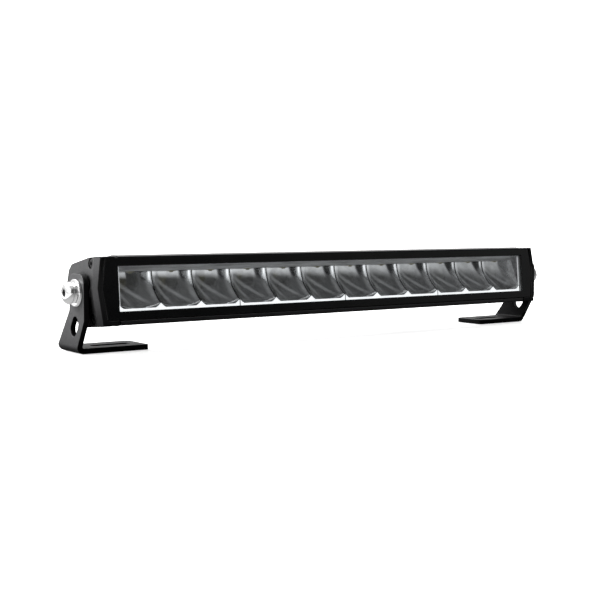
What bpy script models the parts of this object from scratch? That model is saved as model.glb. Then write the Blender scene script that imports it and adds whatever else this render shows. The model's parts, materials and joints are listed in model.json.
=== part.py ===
"""LED light bar, single row, twelve reflector cells, on two bent steel feet.

Axes: X along the bar, -Y is the way the light shines, +Z up.
Origin: on the mounting plane, midway between the feet, on the line that
runs along the middle of the two foot slots.
Metres. The lamp is drawn in its own frame (depth v = Y, height w = Z, both
measured from the tilt axis) and hangs on an empty that carries the tilt.
"""
import math

import bmesh
import bpy
from mathutils import Matrix, Vector

MM = 0.001
GAP = 0.3

# ---------------------------------------------------------------- dimensions
TILT_REST = 5.0          # lamp leans back this far on its feet
AXIS_Z = 49.8            # tilt axis above the mounting plane
SLOT_Y = 17.5            # foot slot centre line behind the tilt axis

CELLS = 12
PITCH = 38.0             # one reflector cell
MODULE_CELLS = 3
WIN_X = 229.0            # half length of the window
WIN_TOP = 19.7
WIN_BOT = -16.9

FRONT = -21.0            # front plane of the lamp
FACE_TOP = 27.4
FACE_BOT = -28.2
BODY_X = 228.4           # half length of the extrusion
CAP_IN = 229.9           # inner plane of an end cap
CAP_OUT = 250.6          # outer ridge of an end cap
RIDGE_W = 2.0            # height of that ridge
CAP_DROP = 3.6           # how far the cap falls back at its top and bottom edges
CAP_CHAMFER = 4.0        # front chamfer of the cap, in depth
CAP_RUN = 3.1            # and across, at the ridge
RIM = 7.1                # outer ridge of the cap to the pocket for the bezel
# the plug's latch ends as far behind the slot line as the lamp's chin is before it
REAR = (2 * SLOT_Y - FRONT * math.cos(math.radians(TILT_REST))
        - FACE_BOT * math.sin(math.radians(TILT_REST))) / math.cos(math.radians(TILT_REST))
LEAD_V = REAR - 9.6      # centre line of the lead where it runs along the bar

LENS_FRONT = -19.7
LENS_T = 1.5
GUIDE_FRONT = -17.3
CUSP_W = 4.7             # half width and height of the light guide's cusps
CUSP_H = 3.5
BOWL_BACK = 6.0          # deepest point of a reflector cell
BOWL_TOP = 15.3          # open top of a cell, where its LED looks down
BOWL_BOT = -14.9
BOWL_A = 29.75
BOWL_P = 2.7
BOWL_Q = 2.05            # fuller curve down the middle of a cell

PLATE = 4.6              # bracket sheet
LEG_OUT = 256.1          # outer face of a leg
FOOT_LEN = 64.6
FOOT_Y0 = 0.6
FOOT_Y1 = 38.0
LEG_Y0 = -13.3
LEG_Y1 = 14.2
LEG_TOP = AXIS_Z + 15.0
BEND_IN = 2.0

BOLT_R = 5.0
HEAD_R = 9.0
HEAD_H = 5.4
SOCKET_AF = 6.0
WASHER_R = 11.0
BUSH_R = 11.5            # bearing washer between cap and leg, sunk in the cap
BUSH_IN = 249.5
PAD_R = 12.9             # low boss around it
PAD_H = 0.3
SCREW_HOLES = ((-10.5, 22.4), (-10.5, -21.9), (20.5, -3.0))   # v, w

MATS = {}


# ------------------------------------------------------------------- helpers
def clear():
    for ob in list(bpy.data.objects):
        bpy.data.objects.remove(ob, do_unlink=True)


def material(name, rgb, rough, metal, alpha=1.0, emit=0.0):
    if name in MATS:
        return MATS[name]
    m = bpy.data.materials.new(name)
    m.use_nodes = True
    b = m.node_tree.nodes["Principled BSDF"]
    b.inputs["Base Color"].default_value = (*rgb, 1.0)
    b.inputs["Roughness"].default_value = rough
    b.inputs["Metallic"].default_value = metal
    b.inputs["Alpha"].default_value = alpha
    if emit:
        b.inputs["Emission Color"].default_value = (*rgb, 1.0)
        b.inputs["Emission Strength"].default_value = emit
    m.diffuse_color = (*rgb, alpha)
    MATS[name] = m
    return m


def put(name, bm, parent=None, mat=None, smooth=None):
    """bmesh in millimetres -> object in metres."""
    bmesh.ops.remove_doubles(bm, verts=bm.verts, dist=0.00005)
    bmesh.ops.recalc_face_normals(bm, faces=bm.faces)
    bmesh.ops.scale(bm, vec=(MM, MM, MM), verts=bm.verts)
    me = bpy.data.meshes.new(name)
    bm.to_mesh(me)
    bm.free()
    ob = bpy.data.objects.new(name, me)
    bpy.context.scene.collection.objects.link(ob)
    if parent is not None:
        ob.parent = parent
    if mat is not None:
        me.materials.append(mat)
    if smooth is not None:
        shade(ob, smooth)
    return ob


def shade(ob, degrees):
    me = ob.data
    lim = math.radians(degrees)
    bm = bmesh.new()
    bm.from_mesh(me)
    for f in bm.faces:
        f.smooth = True
    for e in bm.edges:
        e.smooth = len(e.link_faces) == 2 and e.calc_face_angle(0.0) < lim
    bm.to_mesh(me)
    bm.free()


def loop_face(bm, pts):
    vs = [bm.verts.new(p) for p in pts]
    return bm.faces.new(vs)


def prism(pts, axis, a, b):
    """Polygon extruded along an axis. X: points are (y, z); Y: (x, z); Z: (x, y)."""
    def at(p, t):
        if axis == "X":
            return Vector((t, p[0], p[1]))
        if axis == "Y":
            return Vector((p[0], t, p[1]))
        return Vector((p[0], p[1], t))
    bm = bmesh.new()
    f = loop_face(bm, [at(p, a) for p in pts])
    res = bmesh.ops.extrude_face_region(bm, geom=[f])
    moved = [g for g in res["geom"] if isinstance(g, bmesh.types.BMVert)]
    off = at((0.0, 0.0), b) - at((0.0, 0.0), a)
    bmesh.ops.translate(bm, vec=off, verts=moved)
    bmesh.ops.recalc_face_normals(bm, faces=bm.faces)
    return bm


def box(x0, x1, y0, y1, z0, z1):
    return prism([(x0, y0), (x1, y0), (x1, y1), (x0, y1)], "Z", z0, z1)


def cyl(axis, c, r, a, b, seg=24, r2=None, turn=0.0):
    """Cylinder or cone frustum along an axis, c = the other two coordinates."""
    r2 = r if r2 is None else r2
    bm = bmesh.new()
    bmesh.ops.create_cone(bm, cap_ends=True, cap_tris=False, segments=seg,
                          radius1=r, radius2=r2, depth=abs(b - a))
    bmesh.ops.rotate(bm, cent=(0, 0, 0), matrix=Matrix.Rotation(turn, 3, "Z"), verts=bm.verts)
    lo = min(a, b)
    hi = max(a, b)
    if b < a:
        bmesh.ops.rotate(bm, cent=(0, 0, 0), matrix=Matrix.Rotation(math.pi, 3, "X"), verts=bm.verts)
    if axis == "X":
        bmesh.ops.rotate(bm, cent=(0, 0, 0), matrix=Matrix.Rotation(math.pi / 2, 3, "Y"), verts=bm.verts)
        t = Vector(((lo + hi) / 2, c[0], c[1]))
    elif axis == "Y":
        bmesh.ops.rotate(bm, cent=(0, 0, 0), matrix=Matrix.Rotation(-math.pi / 2, 3, "X"), verts=bm.verts)
        t = Vector((c[0], (lo + hi) / 2, c[1]))
    else:
        t = Vector((c[0], c[1], (lo + hi) / 2))
    bmesh.ops.translate(bm, vec=t, verts=bm.verts)
    bmesh.ops.recalc_face_normals(bm, faces=bm.faces)
    return bm


def lathe_x(profile, seg, c=(0.0, 0.0)):
    """Closed or axis-to-axis profile of (x, r) spun about the X axis."""
    bm = bmesh.new()
    rings = []
    for x, r in profile:
        if r < 1e-6:
            rings.append([bm.verts.new((x, c[0], c[1]))])
        else:
            rings.append([bm.verts.new((x, c[0] + r * math.cos(2 * math.pi * k / seg),
                                        c[1] + r * math.sin(2 * math.pi * k / seg)))
                          for k in range(seg)])
    closed = len(rings[0]) > 1
    n = len(rings)
    for i in range(n if closed else n - 1):
        a = rings[i]
        b = rings[(i + 1) % n]
        for k in range(seg):
            k2 = (k + 1) % seg
            if len(a) == 1:
                bm.faces.new((a[0], b[k], b[k2]))
            elif len(b) == 1:
                bm.faces.new((a[k], a[k2], b[0]))
            else:
                bm.faces.new((a[k], a[k2], b[k2], b[k]))
    bmesh.ops.recalc_face_normals(bm, faces=bm.faces)
    return bm


def combine(base, tools, op):
    """EXACT boolean of bmesh bodies in millimetres; returns a new bmesh."""
    me = bpy.data.meshes.new("base")
    base.to_mesh(me)
    base.free()
    ob = bpy.data.objects.new("base_work", me)
    bpy.context.scene.collection.objects.link(ob)
    extra = []
    for i, t in enumerate(tools):
        mt = bpy.data.meshes.new("tool")
        t.to_mesh(mt)
        t.free()
        ot = bpy.data.objects.new("tool_work_%d" % i, mt)
        bpy.context.scene.collection.objects.link(ot)
        ot.hide_render = True
        ot.display_type = "WIRE"
        extra.append(ot)
        md = ob.modifiers.new("cut_%d" % i, "BOOLEAN")
        md.operation = op
        md.solver = "EXACT"
        md.object = ot
    dg = bpy.context.evaluated_depsgraph_get()
    out = bmesh.new()
    out.from_object(ob, dg)
    bpy.data.objects.remove(ob, do_unlink=True)
    for ot in extra:
        bpy.data.objects.remove(ot, do_unlink=True)
    bmesh.ops.remove_doubles(out, verts=out.verts, dist=0.0001)
    bmesh.ops.dissolve_degenerate(out, edges=out.edges, dist=0.0001)
    return out


def fillet(pts, radii, seg=5):
    """Polygon with the given corner radius at each point."""
    out = []
    n = len(pts)
    for i in range(n):
        p = Vector(pts[i])
        r = radii[i] if isinstance(radii, (list, tuple)) else radii
        if r <= 0:
            out.append((p.x, p.y))
            continue
        a = (Vector(pts[i - 1]) - p).normalized()
        b = (Vector(pts[(i + 1) % n]) - p).normalized()
        ang = a.angle(b)
        d = r / math.tan(ang / 2)
        c = p + (a + b).normalized() * (r / math.sin(ang / 2))
        s = p + a * d
        e = p + b * d
        a0 = math.atan2(s.y - c.y, s.x - c.x)
        a1 = math.atan2(e.y - c.y, e.x - c.x)
        da = (a1 - a0 + math.pi) % (2 * math.pi) - math.pi
        for k in range(seg + 1):
            t = a0 + da * k / seg
            out.append((c.x + r * math.cos(t), c.y + r * math.sin(t)))
    return out


def slot_poly(p, q, r, seg=8):
    """Obround between two centres."""
    p = Vector(p)
    q = Vector(q)
    d = (q - p).normalized()
    base = math.atan2(d.y, d.x)
    out = []
    for c, s in ((q, -math.pi / 2), (p, math.pi / 2)):
        for k in range(seg + 1):
            t = base + s + math.pi * k / seg
            out.append((c.x + r * math.cos(t), c.y + r * math.sin(t)))
    return out


def mirror_x(bm):
    out = bm.copy()
    bmesh.ops.scale(out, vec=(-1, 1, 1), verts=out.verts)
    bmesh.ops.reverse_faces(out, faces=out.faces)
    return out


def cut_plane(bm, co, no):
    """Keep the side of a convex body that a plane's normal points away from."""
    geom = list(bm.verts) + list(bm.edges) + list(bm.faces)
    res = bmesh.ops.bisect_plane(bm, geom=geom, dist=1e-5, plane_co=co, plane_no=no,
                                 clear_outer=True)
    edges = [e for e in res["geom_cut"] if isinstance(e, bmesh.types.BMEdge)]
    if edges:
        bmesh.ops.contextual_create(bm, geom=edges)


# ----------------------------------------------------------------- materials
def make_materials():
    material("black_powder_steel", (0.018, 0.018, 0.019), 0.55, 0.1)
    material("black_alloy", (0.012, 0.012, 0.013), 0.45, 0.3)
    material("black_cast", (0.02, 0.02, 0.021), 0.6, 0.2)
    material("black_gloss", (0.008, 0.008, 0.009), 0.28, 0.0)
    material("clear_lens", (0.95, 0.95, 0.96), 0.03, 0.0, alpha=0.12)
    material("dark_chrome", (0.55, 0.55, 0.56), 0.12, 1.0)
    material("white_guide", (0.95, 0.95, 0.93), 0.35, 0.0, emit=0.6)
    material("grey_trim", (0.16, 0.16, 0.165), 0.5, 0.0)
    material("board", (0.03, 0.09, 0.05), 0.45, 0.0)
    material("white_board", (0.8, 0.8, 0.78), 0.45, 0.0)
    material("led", (0.85, 0.78, 0.35), 0.35, 0.0)
    material("rubber", (0.02, 0.02, 0.02), 0.8, 0.0)
    material("nylon", (0.03, 0.03, 0.03), 0.6, 0.0)
    material("stainless", (0.72, 0.72, 0.73), 0.2, 1.0)
    material("zinc_black", (0.02, 0.02, 0.02), 0.4, 0.8)
    material("vent_grey", (0.1, 0.1, 0.1), 0.6, 0.0)
    material("cable_black", (0.012, 0.012, 0.012), 0.6, 0.0)


# ------------------------------------------------------------------ brackets
def bracket():
    """Left foot: bent sheet, leg outside, foot turned inwards."""
    xo = -LEG_OUT
    xi = xo + PLATE
    xe = xo + FOOT_LEN
    ro = BEND_IN + PLATE
    # sheet section in X-Z, swept along Y
    section = [(xo, LEG_TOP + 5)]
    for k in range(7):
        t = math.pi + (math.pi / 2) * k / 6
        section.append((xo + ro + ro * math.cos(t), ro + ro * math.sin(t)))
    section += [(xe, 0.0), (xe, PLATE)]
    for k in range(5):
        t = math.pi * 1.5 - (math.pi / 2) * k / 4
        section.append((xi + BEND_IN + BEND_IN * math.cos(t), PLATE + BEND_IN + BEND_IN * math.sin(t)))
    section.append((xi, LEG_TOP + 5))
    sheet = prism(section, "Y", -30.0, 60.0)
    # leg outline in Y-Z
    leg = [(FOOT_Y0, -3.0), (FOOT_Y1, -3.0), (FOOT_Y1, 5.5), (LEG_Y1, 35.0), (LEG_Y1, LEG_TOP),
           (LEG_Y0, LEG_TOP), (LEG_Y0, 27.8), (FOOT_Y0, 4.2)]
    leg = fillet(leg, [0, 0, 3.0, 7.0, 8.0, 8.0, 4.0, 2.0], 4)
    side = prism(leg, "X", -300.0, -150.0)
    # foot outline in X-Y
    foot = [(-290.0, -40.0), (xe, -40.0), (xe, FOOT_Y1), (xo + 8, FOOT_Y1), (xo + 8, 70.0), (-290.0, 70.0)]
    foot = fillet(foot, [0, 0, 7.0, 0, 0, 0], 4)
    front = fillet([(-290.0, FOOT_Y0 - 40), (xo + 10, FOOT_Y0 - 40), (xo + 10, FOOT_Y0), (xe, FOOT_Y0),
                    (xe, FOOT_Y1), (xo + 10, FOOT_Y1), (xo + 10, 70.0), (-290.0, 70.0)],
                   [0, 0, 0, 2.5, 7.0, 0, 0, 0], 4)
    plan = prism(front, "Z", -20.0, 100.0)
    body = combine(sheet, [side, plan], "INTERSECT")
    pivot = cyl("X", (0.0, AXIS_Z), BOLT_R + 0.4, -270.0, -240.0, 28)
    s1 = prism(slot_poly((3.1, AXIS_Z - 24.9), (6.7, AXIS_Z - 30.0), 5.5, 7), "X", -270.0, -240.0)
    s2 = prism(slot_poly((-232.0, SLOT_Y), (-205.0, SLOT_Y), 4.5, 7), "Z", -10.0, 10.0)
    return combine(body, [pivot, s1, s2], "DIFFERENCE")


# -------------------------------------------------------------------- lamp
def cap_outline():
    """Side outline of the end cap, (v, w)."""
    return [(FRONT, FACE_BOT), (14.0, FACE_BOT), (22.0, -22.0), (26.5, -12.0), (32.0, 10.0),
            (31.0, 19.3), (25.8, 24.1), (-5.7, FACE_TOP), (FRONT, FACE_TOP)]


def housing_outline():
    """Channel open to the front, with an inner shelf top and bottom, and fins behind."""
    p = [(FRONT + 0.2, 26.9), (FRONT + 0.2, 26.5), (-17.2, 26.5), (-17.2, 24.4), (-15.7, 24.4),
         (-15.7, 19.9), (-4.4, 19.9), (-4.4, 17.5),
         (13.6, 17.5),
         (13.6, -17.6), (-5.5, -17.6), (-15.7, -17.6), (-15.7, -22.4), (-17.2, -22.4),
         (-17.2, -24.2), (FRONT + 0.2, -24.2), (FRONT + 0.2, FACE_BOT + 0.2), (13.4, FACE_BOT + 0.2)]
    # rear envelope, bottom to top, as (w, v)
    env = [(FACE_BOT + 0.2, 13.4), (-21.6, 21.3), (-11.8, 25.7), (10.0, 31.2), (18.9, 30.2), (23.6, 25.4)]

    def depth(w):
        for (w0, v0), (w1, v1) in zip(env, env[1:]):
            if w0 <= w <= w1:
                return v0 + (v1 - v0) * (w - w0) / (w1 - w0)
        return env[-1][1]
    root = 16.4
    fins = [(-20.6, 1.8), (-14.4, 1.8), (-3.0, 7.4), (8.6, 1.8), (14.4, 1.8), (20.4, 1.8)]
    for c, t in fins:
        lo = c - t / 2
        hi = c + t / 2
        p += [(root, lo), (depth(lo) - 0.4, lo), (depth(hi) - 0.4, hi), (root, hi)]
    # crowned top wall, a little proud of the front rim
    p += [(root, 24.4), (5.0, 27.0), (-2.0, 28.3), (-8.5, 28.8), (-14.5, 28.4), (-18.6, 27.6)]
    return p


def housing():
    body = prism(housing_outline(), "X", -BODY_X, BODY_X)
    tools = []
    for v, w in SCREW_HOLES:
        for s in (-1, 1):
            tools.append(cyl("X", (v, w), 2.2, s * (BODY_X - 16.0), s * (BODY_X + 5.0), 12))
    body = combine(body, tools, "DIFFERENCE")
    # pads behind for the cable gland and the breather
    pads = [box(140.0, 160.0, 15.0, 29.0, -11.5, 6.0), box(-158.0, -142.0, 15.0, 29.0, -10.5, 5.0)]
    body = combine(body, pads, "UNION")
    holes = [cyl("Y", (150.0, -3.0), 4.2, 10.0, 35.0, 18), cyl("Y", (-150.0, -3.0), 2.6, 10.0, 35.0, 14)]
    return combine(body, holes, "DIFFERENCE")


def end_x(w, base, drop):
    """Half length at height w of the pointed end."""
    span = (FACE_TOP - RIDGE_W) if w > RIDGE_W else (RIDGE_W - FACE_BOT)
    return base - drop * abs(w - RIDGE_W) / span


def end_cap():
    """Right end cap."""
    bm = prism(cap_outline(), "X", CAP_IN, CAP_OUT + 20.0)
    up = FACE_TOP - RIDGE_W
    dn = RIDGE_W - FACE_BOT
    n_up = Vector((up, 0.0, CAP_DROP)).normalized()
    n_dn = Vector((dn, 0.0, -CAP_DROP)).normalized()
    ridge = Vector((CAP_OUT, 0.0, RIDGE_W))
    cut_plane(bm, ridge, n_up)
    cut_plane(bm, ridge, n_dn)
    # front chamfer from the outer faces to the front plane
    run = CAP_RUN
    for sgn, h, nn in ((1, up, n_up), (-1, dn, n_dn)):
        a = Vector((CAP_OUT, FRONT + CAP_CHAMFER, RIDGE_W))
        b = Vector((CAP_OUT - CAP_DROP, FRONT + CAP_CHAMFER, RIDGE_W + sgn * h))
        c = Vector((CAP_OUT - run, FRONT, RIDGE_W))
        nrm = (b - a).cross(c - a).normalized()
        if nrm.x < 0:
            nrm = -nrm
        cut_plane(bm, a, nrm)
    # soften the remaining long outer edges
    bmesh.ops.recalc_face_normals(bm, faces=bm.faces)
    tools = []
    # pocket for the end of the bezel
    xb = lambda w: end_x(w, CAP_OUT - RIM, CAP_DROP)
    pocket = [(CAP_IN - 5.0, -24.0), (xb(-24.0), -24.0), (xb(RIDGE_W), RIDGE_W), (xb(26.4), 26.4),
              (CAP_IN - 5.0, 26.4)]
    tools.append(prism(pocket, "Y", FRONT - 5.0, -17.2))
    # seat for the lens gasket
    tools.append(box(CAP_IN - 6.0, WIN_X + 3.4, -19.0, -15.7, WIN_BOT - 3.4, WIN_TOP + 3.4))
    for v, w in SCREW_HOLES:
        xw = end_x(w, CAP_OUT, CAP_DROP)
        tools.append(cyl("X", (v, w), 2.3, CAP_IN - 5.0, xw + 8.0, 16))
        tools.append(cyl("X", (v, w), 4.0, xw - 4.6, xw + 8.0, 20))
    body = combine(bm, tools, "DIFFERENCE")
    pad = cyl("X", (0.0, 0.0), PAD_R, 243.0, CAP_OUT + PAD_H, 32)
    body = combine(body, [pad], "UNION")
    return combine(body, [cyl("X", (0.0, 0.0), BUSH_R + 0.3, BUSH_IN - 0.1, CAP_OUT + 5.0, 28),
                          cyl("X", (0.0, 0.0), BOLT_R + 0.05, 239.0, CAP_OUT + 5.0, 24)], "DIFFERENCE")


def cap_gasket():
    outline = [(-15.4, -26.4), (13.0, -26.4), (20.8, -21.2), (25.0, -11.6), (30.4, 9.9), (29.4, 18.4),
               (24.8, 22.9), (-5.7, 26.2), (-15.4, 26.2)]
    bm = prism(outline, "X", BODY_X + 0.3, CAP_IN - 0.3)
    return combine(bm, [cyl("X", (v, w), 2.3, 220.0, 240.0, 14) for v, w in SCREW_HOLES], "DIFFERENCE")


def bezel():
    xb = lambda w: end_x(w, CAP_OUT - RIM - GAP, CAP_DROP)
    t, b = 26.1, -23.8
    outer = [(-xb(b), b), (xb(b), b), (xb(RIDGE_W), RIDGE_W), (xb(t), t), (-xb(t), t), (-xb(RIDGE_W), RIDGE_W)]
    bm = prism(outer, "Y", FRONT + 0.3, -17.5)
    win = prism(fillet([(-WIN_X, WIN_BOT), (WIN_X, WIN_BOT), (WIN_X, WIN_TOP), (-WIN_X, WIN_TOP)], 0.8, 3),
                "Y", FRONT - 5.0, -10.0)
    rebate = prism([(-WIN_X - 3.6, WIN_BOT - 3.4), (WIN_X + 3.6, WIN_BOT - 3.4), (WIN_X + 3.6, WIN_TOP + 3.4), (-WIN_X - 3.6, WIN_TOP + 3.4)],
                   "Y", LENS_FRONT - 0.3, -10.0)
    return combine(bm, [win, rebate], "DIFFERENCE")


def lens():
    m = 3.1
    pts = fillet([(-WIN_X - m, WIN_BOT - m), (WIN_X + m, WIN_BOT - m), (WIN_X + m, WIN_TOP + m),
                  (-WIN_X - m, WIN_TOP + m)], 1.5, 3)
    return prism(pts, "Y", LENS_FRONT, LENS_FRONT + LENS_T)


def lens_gasket():
    m = 3.0
    outer = prism([(-WIN_X - m, WIN_BOT - m), (WIN_X + m, WIN_BOT - m), (WIN_X + m, WIN_TOP + m),
                   (-WIN_X - m, WIN_TOP + m)], "Y", LENS_FRONT + LENS_T + GAP, -16.0)
    n = 0.25
    inner = prism([(-WIN_X - n, WIN_BOT - n), (WIN_X + n, WIN_BOT - n), (WIN_X + n, WIN_TOP + n),
                   (-WIN_X - n, WIN_TOP + n)], "Y", -30.0, -10.0)
    return combine(outer, [inner], "DIFFERENCE")


def bowl_depth(dx, h):
    q = BOWL_Q + (BOWL_P - BOWL_Q) * min(1.0, (2.0 * dx / PITCH) ** 2)
    g = (abs(dx) / BOWL_A) ** BOWL_P + (max(h, 0.0) / (BOWL_TOP - BOWL_BOT)) ** q
    return BOWL_BACK - (BOWL_BACK - (GUIDE_FRONT + 0.9)) * g ** (2.0 / BOWL_P)


def reflector(i):
    """One moulding of three cells: a thin shell, bowls open to the front."""
    wall = 1.3
    front_v = GUIDE_FRONT + 0.9
    x0 = -CELLS * PITCH / 2 + i * MODULE_CELLS * PITCH
    lo = x0 + (0.15 if i else 1.0)
    hi = x0 + MODULE_CELLS * PITCH - (0.15 if i < 3 else 1.0)
    nx, nw = 8, 8
    xs = []
    for c in range(MODULE_CELLS):
        for k in range(nx):
            xs.append(x0 + (c + k / nx) * PITCH)
    xs.append(x0 + MODULE_CELLS * PITCH)
    xs[0] = lo
    xs[-1] = hi
    ws = [BOWL_TOP - (BOWL_TOP - BOWL_BOT) * (k / nw) for k in range(nw + 1)]
    bm = bmesh.new()
    front, back = [], []
    for x in xs:
        c = min(max(int((x - x0) / PITCH), 0), MODULE_CELLS - 1)
        dx = x - (x0 + (c + 0.5) * PITCH)
        cf, cb = [], []
        for w in ws:
            v = max(bowl_depth(dx, BOWL_TOP - w), front_v)
            cf.append(bm.verts.new((x, v, w)))
            cb.append(bm.verts.new((x, v + wall, w)))
        front.append(cf)
        back.append(cb)
    n, m = len(xs), len(ws)
    for a in range(n - 1):
        for b in range(m - 1):
            bm.faces.new((front[a][b], front[a][b + 1], front[a + 1][b + 1], front[a + 1][b]))
            bm.faces.new((back[a][b], back[a + 1][b], back[a + 1][b + 1], back[a][b + 1]))
    for a in range(n - 1):
        for b in (0, m - 1):
            bm.faces.new((front[a][b], front[a + 1][b], back[a + 1][b], back[a][b]))
    for b in range(m - 1):
        for a in (0, n - 1):
            bm.faces.new((front[a][b], front[a][b + 1], back[a][b + 1], back[a][b]))
    bmesh.ops.recalc_face_normals(bm, faces=bm.faces)
    return bm


def light_guide(i):
    """White strip under three cells, rising to a cusp between neighbours."""
    x0 = -CELLS * PITCH / 2 + i * MODULE_CELLS * PITCH
    lo = x0 + (0.15 if i else 0.7)
    hi = x0 + MODULE_CELLS * PITCH - (0.15 if i < 3 else 0.7)
    top = BOWL_BOT
    steps = [CUSP_W * (k / 5) ** 1.4 for k in range(6)]

    def flank(d):
        return top + CUSP_H * max(1.0 - d / CUSP_W, 0.0) ** 1.5
    pts = [(lo, WIN_BOT + 0.1), (hi, WIN_BOT + 0.1)]
    edge = []
    for c in range(MODULE_CELLS + 1):
        xb = x0 + c * PITCH
        if c > 0:
            least = xb - hi if c == MODULE_CELLS else 0.0
            edge += [(xb - d, flank(d)) for d in reversed(steps) if d > least + 0.02]
            edge.append((xb - least, flank(least)))
        if c < MODULE_CELLS:
            least = lo - xb if c == 0 else 0.0
            if c == 0:
                edge.append((xb + least, flank(least)))
            edge += [(xb + d, flank(d)) for d in steps if d > least + 0.02]
    pts += list(reversed(edge))
    plate = prism(pts, "Y", GUIDE_FRONT, GUIDE_FRONT + 0.7)
    bar = box(lo + 0.1, hi - 0.1, GUIDE_FRONT + 0.35, -8.0, WIN_BOT + 0.2, BOWL_BOT - 0.3)
    return combine(plate, [bar], "UNION")


def trim():
    """Grey inner frame: a band above the bowls and a plate at each end."""
    e = WIN_X - 0.45
    band = box(-e + 0.4, e - 0.4, -6.8, -5.5, BOWL_TOP + 0.3, WIN_TOP - 0.2)
    # side plate: deep beside the bowls, short where the housing shelf sits above
    near = LENS_FRONT + LENS_T + GAP
    side = [(GUIDE_FRONT + 1.1, BOWL_BOT + 0.1), (6.5, BOWL_BOT + 0.1), (6.5, 17.0), (-5.0, 17.0),
            (-5.0, WIN_TOP - 0.1), (near, WIN_TOP - 0.1), (near, -10.6), (GUIDE_FRONT + 1.1, -10.6)]
    plates = []
    for s in (-1, 1):
        a, b = sorted((s * e, s * (e - 1.2)))
        plates.append(prism(side, "X", a, b))
    return combine(band, plates, "UNION")


def led_board():
    b = box(-225.9, 225.9, -5.2, 9.6, 15.7, 17.2)
    holes = [cyl("Z", (x, 6.6), 1.6, 10.0, 20.0, 12) for x in (-190.0, -76.0, 0.0 + 38.0, 152.0)]
    return combine(b, holes, "DIFFERENCE")


def led(k):
    """LED package under the board: square base, domed light face looking down."""
    xc = -CELLS * PITCH / 2 + (k + 0.5) * PITCH
    base = box(xc - 2.6, xc + 2.6, -4.9, 0.3, 14.75, 15.4)
    dome = cyl("Z", (xc, -2.3), 1.3, 13.9, 14.9, 14, r2=2.1)
    return combine(base, [dome], "UNION")


def drl_board():
    return box(-226.0, 226.0, -7.7, -6.4, -17.3, -13.0)


def driver_board():
    b = box(-150.0, 150.0, 8.6, 10.2, -13.0, 13.0)
    parts = []
    for x, w, r in ((-96.0, 3.0, 1.3), (-60.0, -4.0, 1.3)):
        parts.append(box(x - 8, x + 8, 10.0, 12.7, w - 6, w + 6))
    for x in (-20.0, 30.0, 78.0, 120.0):
        parts.append(box(x - 5, x + 5, 10.0, 12.9, -5.0, 5.0))
    return combine(b, parts, "UNION")


def vent():
    """Breather plug pushed into its pad from behind."""
    prof = [(20.0, 0.0), (20.0, 2.3), (29.2, 2.3), (29.2, 6.0), (31.0, 6.0), (31.6, 5.4), (31.6, 0.0)]
    bm = lathe_x(prof, 20)
    bmesh.ops.rotate(bm, cent=(0, 0, 0), matrix=Matrix.Rotation(math.pi / 2, 3, "Z"), verts=bm.verts)
    bmesh.ops.translate(bm, vec=(-150.0, 0.0, -3.0), verts=bm.verts)
    return bm


def gland():
    """Cable gland: threaded stem in the pad, hexagon, domed nut, clear bore."""
    hexa = cyl("Y", (150.0, -3.0), 8.1, 29.3, 33.3, 6)
    stem = cyl("Y", (150.0, -3.0), 3.9, 18.0, 30.0, 20)
    nut = cyl("Y", (150.0, -3.0), 6.6, 33.0, 39.0, 20, r2=5.4)
    body = combine(hexa, [stem, nut], "UNION")
    return combine(body, [cyl("Y", (150.0, -3.0), 3.0, 10.0, 50.0, 16)], "DIFFERENCE")


def cable_path():
    """Centre line: out of the gland, a bend, then back along the bar."""
    r = 9.0
    y0 = LEAD_V - r
    pts = [Vector((150.0, 19.0, -3.0)), Vector((150.0, y0, -3.0))]
    for k in range(1, 9):
        t = (math.pi / 2) * k / 8
        pts.append(Vector((150.0 - r + r * math.cos(t), y0 + r * math.sin(t), -3.0)))
    pts.append(Vector((57.0, LEAD_V, -3.0)))
    return pts


def cable():
    path = cable_path()
    seg = 12
    r = 2.7
    bm = bmesh.new()
    rings = []
    for i, p in enumerate(path):
        if i == 0:
            d = path[1] - path[0]
        elif i == len(path) - 1:
            d = path[-1] - path[-2]
        else:
            d = (path[i + 1] - path[i]).normalized() + (path[i] - path[i - 1]).normalized()
        d.normalize()
        side = d.cross(Vector((0, 0, 1))).normalized()
        upv = Vector((0, 0, 1))
        rings.append([bm.verts.new(p + side * (r * math.cos(2 * math.pi * k / seg)) +
                                   upv * (r * math.sin(2 * math.pi * k / seg))) for k in range(seg)])
    for a, b in zip(rings, rings[1:]):
        for k in range(seg):
            k2 = (k + 1) % seg
            bm.faces.new((a[k], a[k2], b[k2], b[k]))
    bm.faces.new(rings[0])
    bm.faces.new(list(reversed(rings[-1])))
    bmesh.ops.recalc_face_normals(bm, faces=bm.faces)
    return bm


def connector():
    """Two-way plug on the end of the lead."""
    y, z = LEAD_V, -3.0
    body = prism(fillet([(y - 7.5, z - 8.5), (y + 7.5, z - 8.5), (y + 7.5, z + 8.5), (y - 7.5, z + 8.5)], 2.5, 3),
                 "X", 20.0, 52.0)
    boot = cyl("X", (y, z), 5.2, 50.0, 61.5, 18, r2=3.9)
    latch = box(26.0, 44.0, y + 7.0, y + 9.6, z - 3.0, z + 3.0)
    body = combine(body, [boot, latch], "UNION")
    tools = [cyl("X", (y, z), 2.9, 54.0, 70.0, 14)]
    for s in (-1, 1):
        tools.append(cyl("X", (y, z + s * 3.6), 1.7, 10.0, 30.0, 12))
    return combine(body, tools, "DIFFERENCE")


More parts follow.
